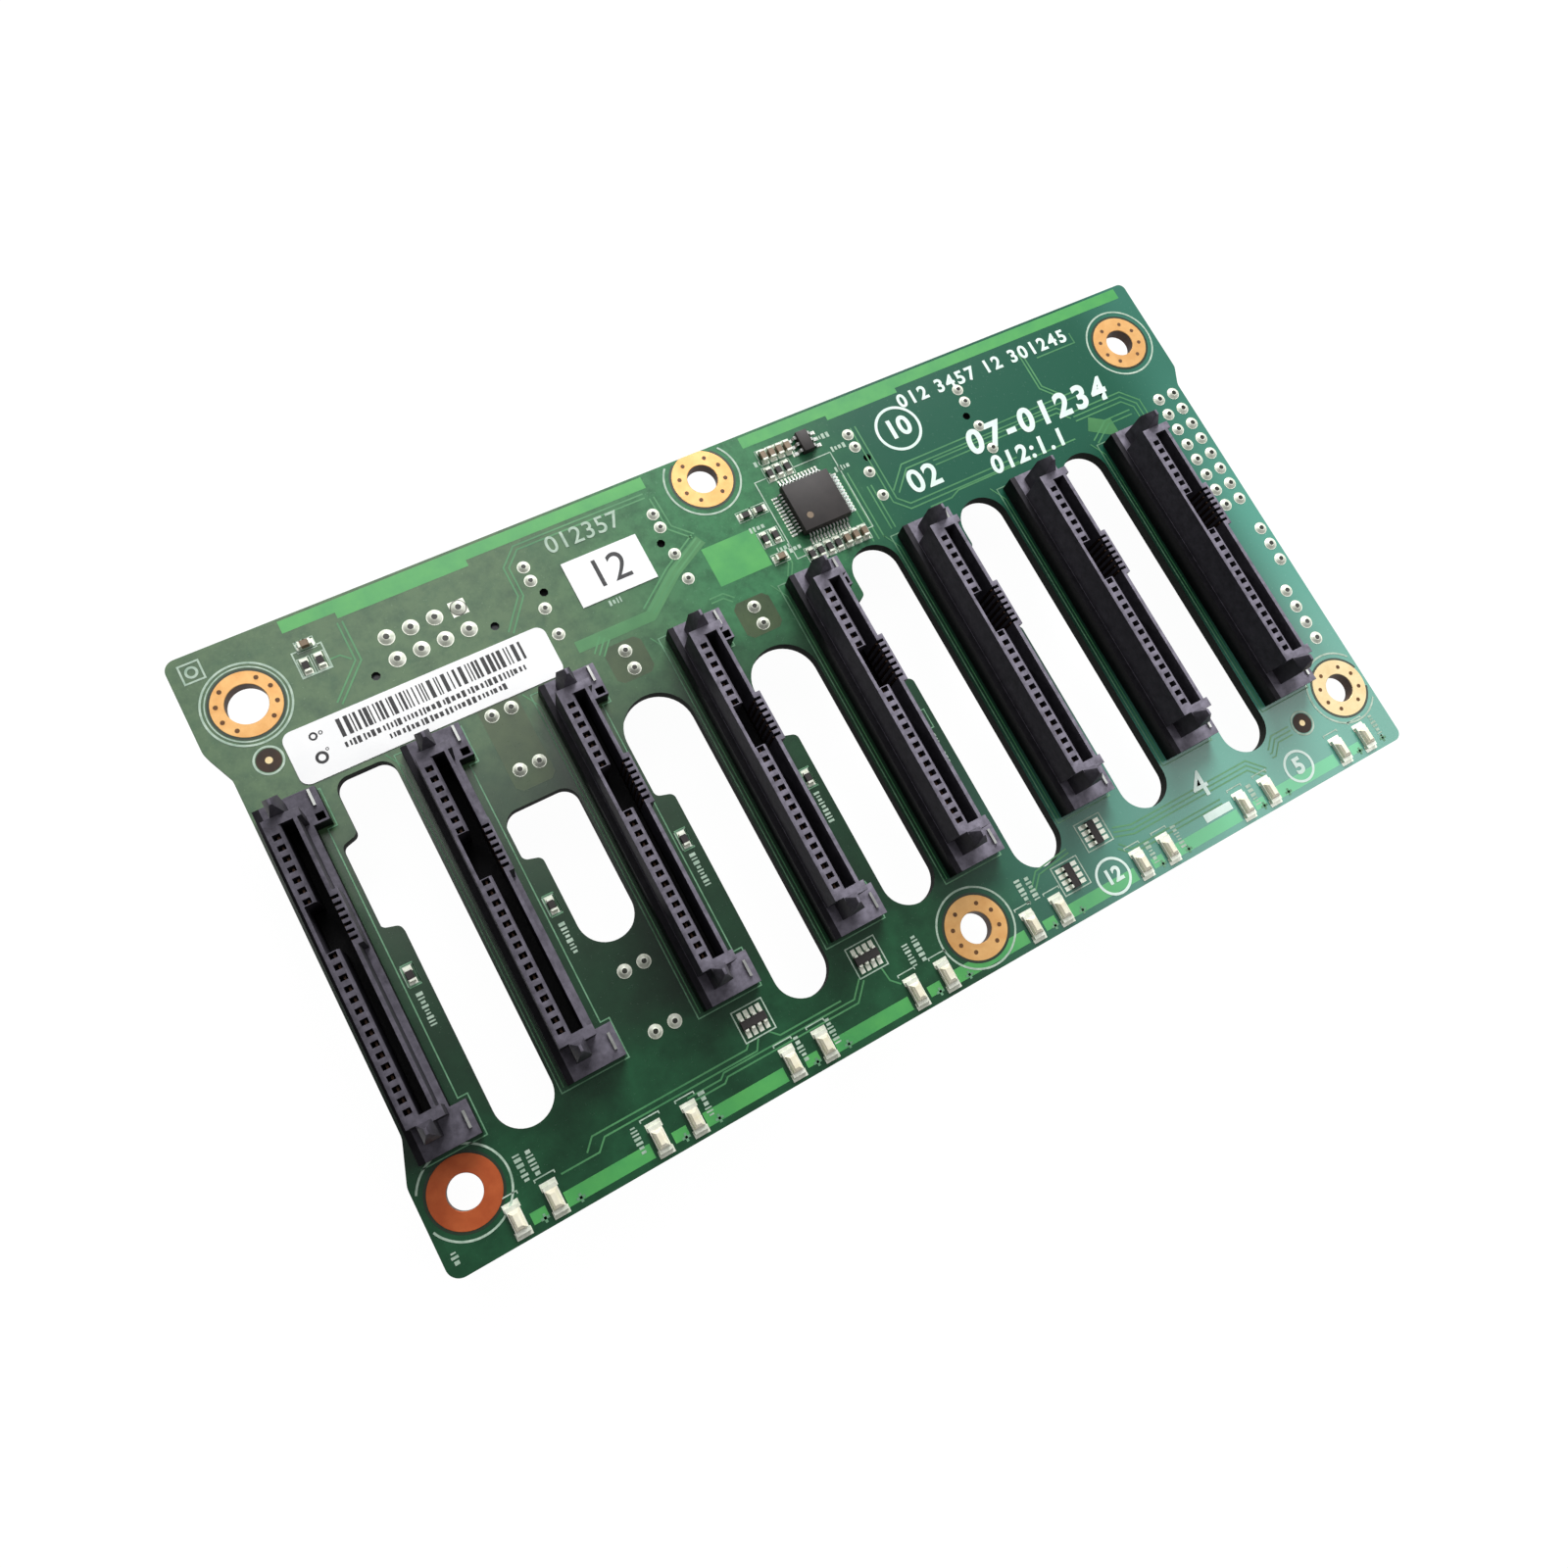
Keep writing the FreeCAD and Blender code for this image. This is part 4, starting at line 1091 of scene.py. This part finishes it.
label_low, label_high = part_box("long_label")
bars = Flat(0.012, label_high[2])
x = label_low[0] + 6.2 * MM
while x < label_high[0] - 3.2 * MM:
    wide = random.choice((0.16, 0.16, 0.32, 0.48))
    bars.block((x + wide * MM / 2, label_high[1] - 1.95 * MM), wide, 2.3)
    x += (wide + random.choice((0.16, 0.24, 0.4))) * MM
for down, start, end, tall in ((4.05, 6.2, 28.6, 0.85), (5.25, 11.0, 25.5, 0.8)):
    x = label_low[0] + start * MM
    while x < label_low[0] + end * MM:
        wide = random.choice((0.22, 0.3, 0.42))
        bars.block((x, label_high[1] - down * MM), wide, tall * random.choice((0.75, 1.0)))
        x += (wide + 0.24) * MM
for dx, dy, radius in ((3.3, 1.6, 0.5), (4.2, 1.5, 0.25), (3.2, 4.3, 0.75), (4.1, 3.6, 0.2)):
    bars.ring((label_low[0] + dx * MM, label_high[1] - dy * MM), radius * 0.55, radius, 20)
bars.build("label_bars", BLACK_INK, "label_white")

# %% [markdown]
# Where a board carries its name and its marks, this one carries plain numbers. Slant, weight and
# spread make them look like the print of a board house.

# %% Plain numbers
FACE = TOP + 0.05 * MM


def plain_number(name, body, middle, height, size, made, slant=0.0, weight=0.0, spread=1.0):
    """Figures laid flat round a middle point."""
    figures = bpy.data.curves.new(name, "FONT")
    figures.body = body
    figures.size = size * MM
    figures.shear = slant
    figures.offset = weight * MM
    figures.space_character = spread
    figures.align_x = figures.align_y = "CENTER"
    thing = settle(name, figures, made)
    thing.location = (middle[0], middle[1], height)


low, high = (Vector(corner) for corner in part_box("short_label"))
plain_number("label_number", "12", (low + high) / 2, high.z + 0.012 * MM, 5.4, BLACK_INK)
for name, body, middle, size, made, slant, weight, spread in (
        ("board_number", "07-01234", at(7, 8.6, 12.5), 4.8, BOLD_INK, 0.15, 0.17, 1.3),
        ("issue_number", "012:1.1", at(7, 4.6, 8.4), 3.5, BOLD_INK, 0.15, 0.12, 1.2),
        ("batch_number", "012 3457 12 301245", at(7, 5.4, 21.9), 2.7, BOLD_INK, 0, 0.08, 1.25),
        ("row_number", "012357", at(3, 12.4, 21.7), 3.2, INK, 0, 0.02, 1.05),
        ("test_number", "02", at(6, 5.9, 10.7), 4.6, BOLD_INK, 0, 0.1, 1.1),
        ("ring_number", "10", RING_NUMBER_PLACES[0], 3.8, BOLD_INK, 0, 0.12, 1),
        ("large_ring_number", "12", RING_NUMBER_PLACES[1], 2.6, BOLD_INK, 0, 0.1, 1),
        ("small_ring_number", "5", RING_NUMBER_PLACES[2], 3.0, BOLD_INK, 0, 0.12, 1),
        ("sorting_number", "4", at(7, 0.5, -42.0), 5.0, BOLD_INK, 0, 0.04, 1)):
    plain_number(name, body, middle, FACE, size, made, slant, weight, spread)
print("numbers laid:", len(bpy.data.curves))

# %% [markdown]
# The back carries the same kinds of thing more sparsely: copper fields at the edges, traces that
# gather from the drive bays at the two cable sockets, rings printed round the cans and outlines
# round the sockets. Dark discs on the tops of the header's pegs, down in their holes, are painted
# shade seen from the face.

# %% Underside
BACK_FIELDS = (((1, 6, 24.0), (4, 8, 26.0)), ((5, 2, 24.4), (8, 4, 26.0)),
               ((1, 6, -48.8), (4, 9, -47.0)), ((5, 4, -48.8), (8, 4, -47.0)))
BACK_PITCH = 0.36 * MM
BACK_LEVEL, LEVEL_STEP = 6.2, 1.5
back_fields, back_traces = Flat(0.010, under=True), Flat(0.016, under=True)
back_print = Flat(0.030, under=True)
for first, last in BACK_FIELDS:
    back_fields.field(first, last)
for bay in BAYS:
    low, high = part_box("cable_socket_shell_%d" % (1 if bay < 5 else 2))
    place = (bay - 1) % 4
    end_x = low[0] + (high[0] - low[0]) * (place + 0.7) / 4.4
    level = row(BACK_LEVEL + LEVEL_STEP * place)
    for n in range(3):
        shift = BACK_PITCH * n
        start = at(bay, 1.0, -3.0) + Vector((shift, 0))
        turn_y = level + (shift if end_x < start.x else -shift)
        back_traces.ribbon([start, (start.x, turn_y), (end_x + shift, turn_y),
                            (end_x + shift, low[1])], 0.16)
for number in range(1, 7):
    low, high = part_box("capacitor_%d" % number)
    back_print.ring(((low[0] + high[0]) / 2, (low[1] + high[1]) / 2), 2.9, 3.1, 36)
for node in ("power_header", "cable_socket_shell_1", "cable_socket_shell_2"):
    low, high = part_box(node)
    front, left, right = low[1] - 0.6 * MM, low[0] - 0.6 * MM, high[0] + 0.6 * MM
    rear = board_high[1] - MM
    back_print.ribbon([(left, rear), (left, front), (right, front), (right, rear)], 0.2)
back_fields.build("back_fields", POUR)
back_traces.build("back_traces", TRACE)
back_print.build("back_print", INK)

peg_z = TOP - 0.6 * MM
peg_tops = [v.co.copy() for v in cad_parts["power_header"].data.vertices
            if abs(v.co.z - peg_z) < 0.01 * MM]
header_middle = sum(v.x for v in peg_tops) / len(peg_tops)
# Dark discs on the peg tops, down in their holes: painted shade.
painted_hole_shade = Flat(0.01, height=peg_z)
for right_side in (False, True):
    corners = [v for v in peg_tops if (v.x > header_middle) == right_side]
    painted_hole_shade.disc(sum(corners, Vector()) / len(corners), 0.54, 16)
painted_hole_shade.build("painted_hole_shade", SLEEVE, "black_housing")

# %% [markdown]
# On the back stand aluminium cans. A real can has a rolled groove near its rubber foot, a plastic
# sleeve that leaves the end bare, and an end that is pressed in a little inside its rim.

# %% Capacitor cans
for number in range(1, 7):
    node = "capacitor_%d" % number
    low, high = (Vector(corner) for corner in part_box(node))
    middle, radius, end, foot = (low + high) / 2, (high.x - low.x) / 2, low.z, high.z
    groove = radius - 0.28 * MM
    profiles = {
        "end": [(0.0, end + 0.12 * MM), (radius * 0.72, end + 0.12 * MM), (radius * 0.78, end),
                (radius * 0.9, end), (radius * 0.97, end + 0.15 * MM),
                (radius * 0.99, end + 0.45 * MM)],
        "sleeve": [(radius * 0.99, end + 0.42 * MM), (radius, end + 0.6 * MM),
                   (radius, foot - 2.5 * MM), (groove, foot - 2.1 * MM), (groove, foot - 1.9 * MM),
                   (radius, foot - 1.5 * MM), (radius, foot - 0.5 * MM),
                   (radius * 0.9, foot - 0.2 * MM)],
        "foot": [(radius * 0.9, foot - 0.22 * MM), (radius * 0.86, foot), (0.0, foot)],
    }
    for part, made, slot in (("end", CAN, "can_aluminium"), ("sleeve", SLEEVE, "can_aluminium"),
                             ("foot", HOUSING, "black_housing")):
        piece = Solid()
        piece.turn(middle, profiles[part], 48)
        piece.build("can_%d_%s" % (number, part), made, slot, node if part == "sleeve" else None)
print("cans built:", number)

# %% [markdown]
# Inside each cable socket, two rows of gold contacts lie on the faces of the tongue. In the second
# port of every drive receptacle, seven finer ones show between the teeth of the comb.

# %% Fine contacts
FINE_PITCH = 0.8
SOCKET_WAYS, PORT_WAYS = 18, 7
PORT_MIDDLE = (2.3, -10.795)
TONGUE_FACE, TONGUE_CONTACT = 0.65 * MM, 0.8 * MM
for number in (1, 2):
    low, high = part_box("cable_socket_insert_%d" % number)
    shell_low, shell_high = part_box("cable_socket_shell_%d" % number)
    middle_x, level = (low[0] + high[0]) / 2, (shell_low[2] + shell_high[2]) / 2
    rear, front = shell_low[1] + 4.0 * MM, shell_low[1] + 11.2 * MM
    contacts = Solid()
    for n in range(SOCKET_WAYS):
        x = middle_x + (n - (SOCKET_WAYS - 1) / 2) * FINE_PITCH * MM
        for z0, z1 in ((-TONGUE_CONTACT, -TONGUE_FACE), (TONGUE_FACE, TONGUE_CONTACT)):
            contacts.box((x - 0.18 * MM, rear, level + z0), (x + 0.18 * MM, front, level + z1))
    contacts.build("socket_contacts_%d" % number, CONTACT_IN_SHADE, "contact_gold")
contacts = Solid()
for bay in BAYS:
    for n in range(PORT_WAYS):
        place = at(bay, PORT_MIDDLE[0], PORT_MIDDLE[1] + (n - (PORT_WAYS - 1) / 2) * FINE_PITCH)
        contacts.box((place.x - 0.12 * MM, place.y - 0.13 * MM, TOP + 1.5 * MM),
                     (place.x + 0.2 * MM, place.y + 0.13 * MM, TOP + 6.6 * MM), 0.03 * MM)
contacts.build("second_port_contacts", CONTACT_IN_SHADE, "contact_gold")

# %% [markdown]
# The object lies on a pale table. The table is nearly white by itself to the camera and in
# mirrors, but part of it still takes the board's soft shadow.

# %% Floor
FLOOR_GLOW, FLOOR_SHARE = 1.08, 0.9
bpy.ops.mesh.primitive_plane_add(size=6.0, location=(0, 0, cad_box[0][2] - 0.02 * MM))
floor = bpy.context.object
floor.name = "floor"
made = bpy.data.materials.new("pale_floor")
made.use_nodes = True
tree = made.node_tree
shader = tree.nodes["Principled BSDF"]
shader.inputs["Base Color"].default_value = (0.8, 0.8, 0.8, 1)
shader.inputs["Roughness"].default_value = 0.9
glow = add_node(tree, "Emission", Color=(1, 1, 1, 1), Strength=FLOOR_GLOW)
rays = add_node(tree, "LightPath").outputs
seen = math_node(tree, "MAXIMUM", rays["Is Camera Ray"], rays["Is Glossy Ray"])
seen = math_node(tree, "MAXIMUM", seen, rays["Is Transmission Ray"])
blend = add_node(tree, "MixShader")
for socket, value in zip(blend.inputs, (times(tree, seen, FLOOR_SHARE), shader.outputs[0],
                                        glow.outputs[0])):
    feed(tree, socket, value)
tree.links.new(blend.outputs[0], tree.nodes["Material Output"].inputs["Surface"])
floor.data.materials.append(made)
print("floor at", round(floor.location.z / MM, 3), "mm")

# %% [markdown]
# One wide lamp stands behind and to the right, where the lacquer mirrors it. A weak one hangs
# behind and above the board, and another weak one stands at its right. The white surround is at
# full strength to the camera alone, and gives everything else a faint light.

# %% Lamps and surround
SURROUND = 0.2
# Each lamp: its place, its aim and its size in millimetres, and its power in watts.
LAMPS = {
    "key_lamp": ((270, 570, 390), (0, 0, 10), 400, 7.6),
    "overhead_box": ((-30, 270, 570), (-10, 0, 10), 300, 0.6),
    "right_box": ((400, -110, 440), (30, -20, 10), 260, 0.7),
}
for name, (place, aim, size, power) in LAMPS.items():
    data = bpy.data.lights.new(name, "AREA")
    data.size = size * MM
    data.energy = power
    lamp = bpy.data.objects.new(name, data)
    lamp.location = Vector(place) * MM
    lamp.rotation_euler = (Vector(aim) - Vector(place)).to_track_quat("-Z", "Y").to_euler()
    bpy.context.collection.objects.link(lamp)
world = bpy.data.worlds.new("studio")
bpy.context.scene.world = world
world.use_nodes = True
tree = world.node_tree
background = tree.nodes["Background"].inputs
background["Color"].default_value = (1, 1, 1, 1)
eye = add_node(tree, "LightPath").outputs["Is Camera Ray"]
tree.links.new(math_node(tree, "MAXIMUM", eye, SURROUND), background["Strength"])
print("lamps:", len(LAMPS))

# %% [markdown]
# The camera is close, above the front left of the board, with a wide lens.

# %% Camera
CAMERA_PLACE = (-52.44, -27.24, 149.89)
CAMERA_TURN = (15.138, -10.351, -28.934)
lens = bpy.data.cameras.new("camera")
lens.lens = 27.88
lens.sensor_width = 36.0
lens.clip_start = 0.005
lens.clip_end = 20.0
camera = bpy.data.objects.new("camera", lens)
camera.location = Vector(CAMERA_PLACE) * MM
camera.rotation_euler = Euler([math.radians(angle) for angle in CAMERA_TURN], "XYZ")
bpy.context.collection.objects.link(camera)
bpy.context.scene.camera = camera
bpy.context.scene.view_settings.view_transform = "Standard"
print("camera height in mm:", CAMERA_PLACE[2])
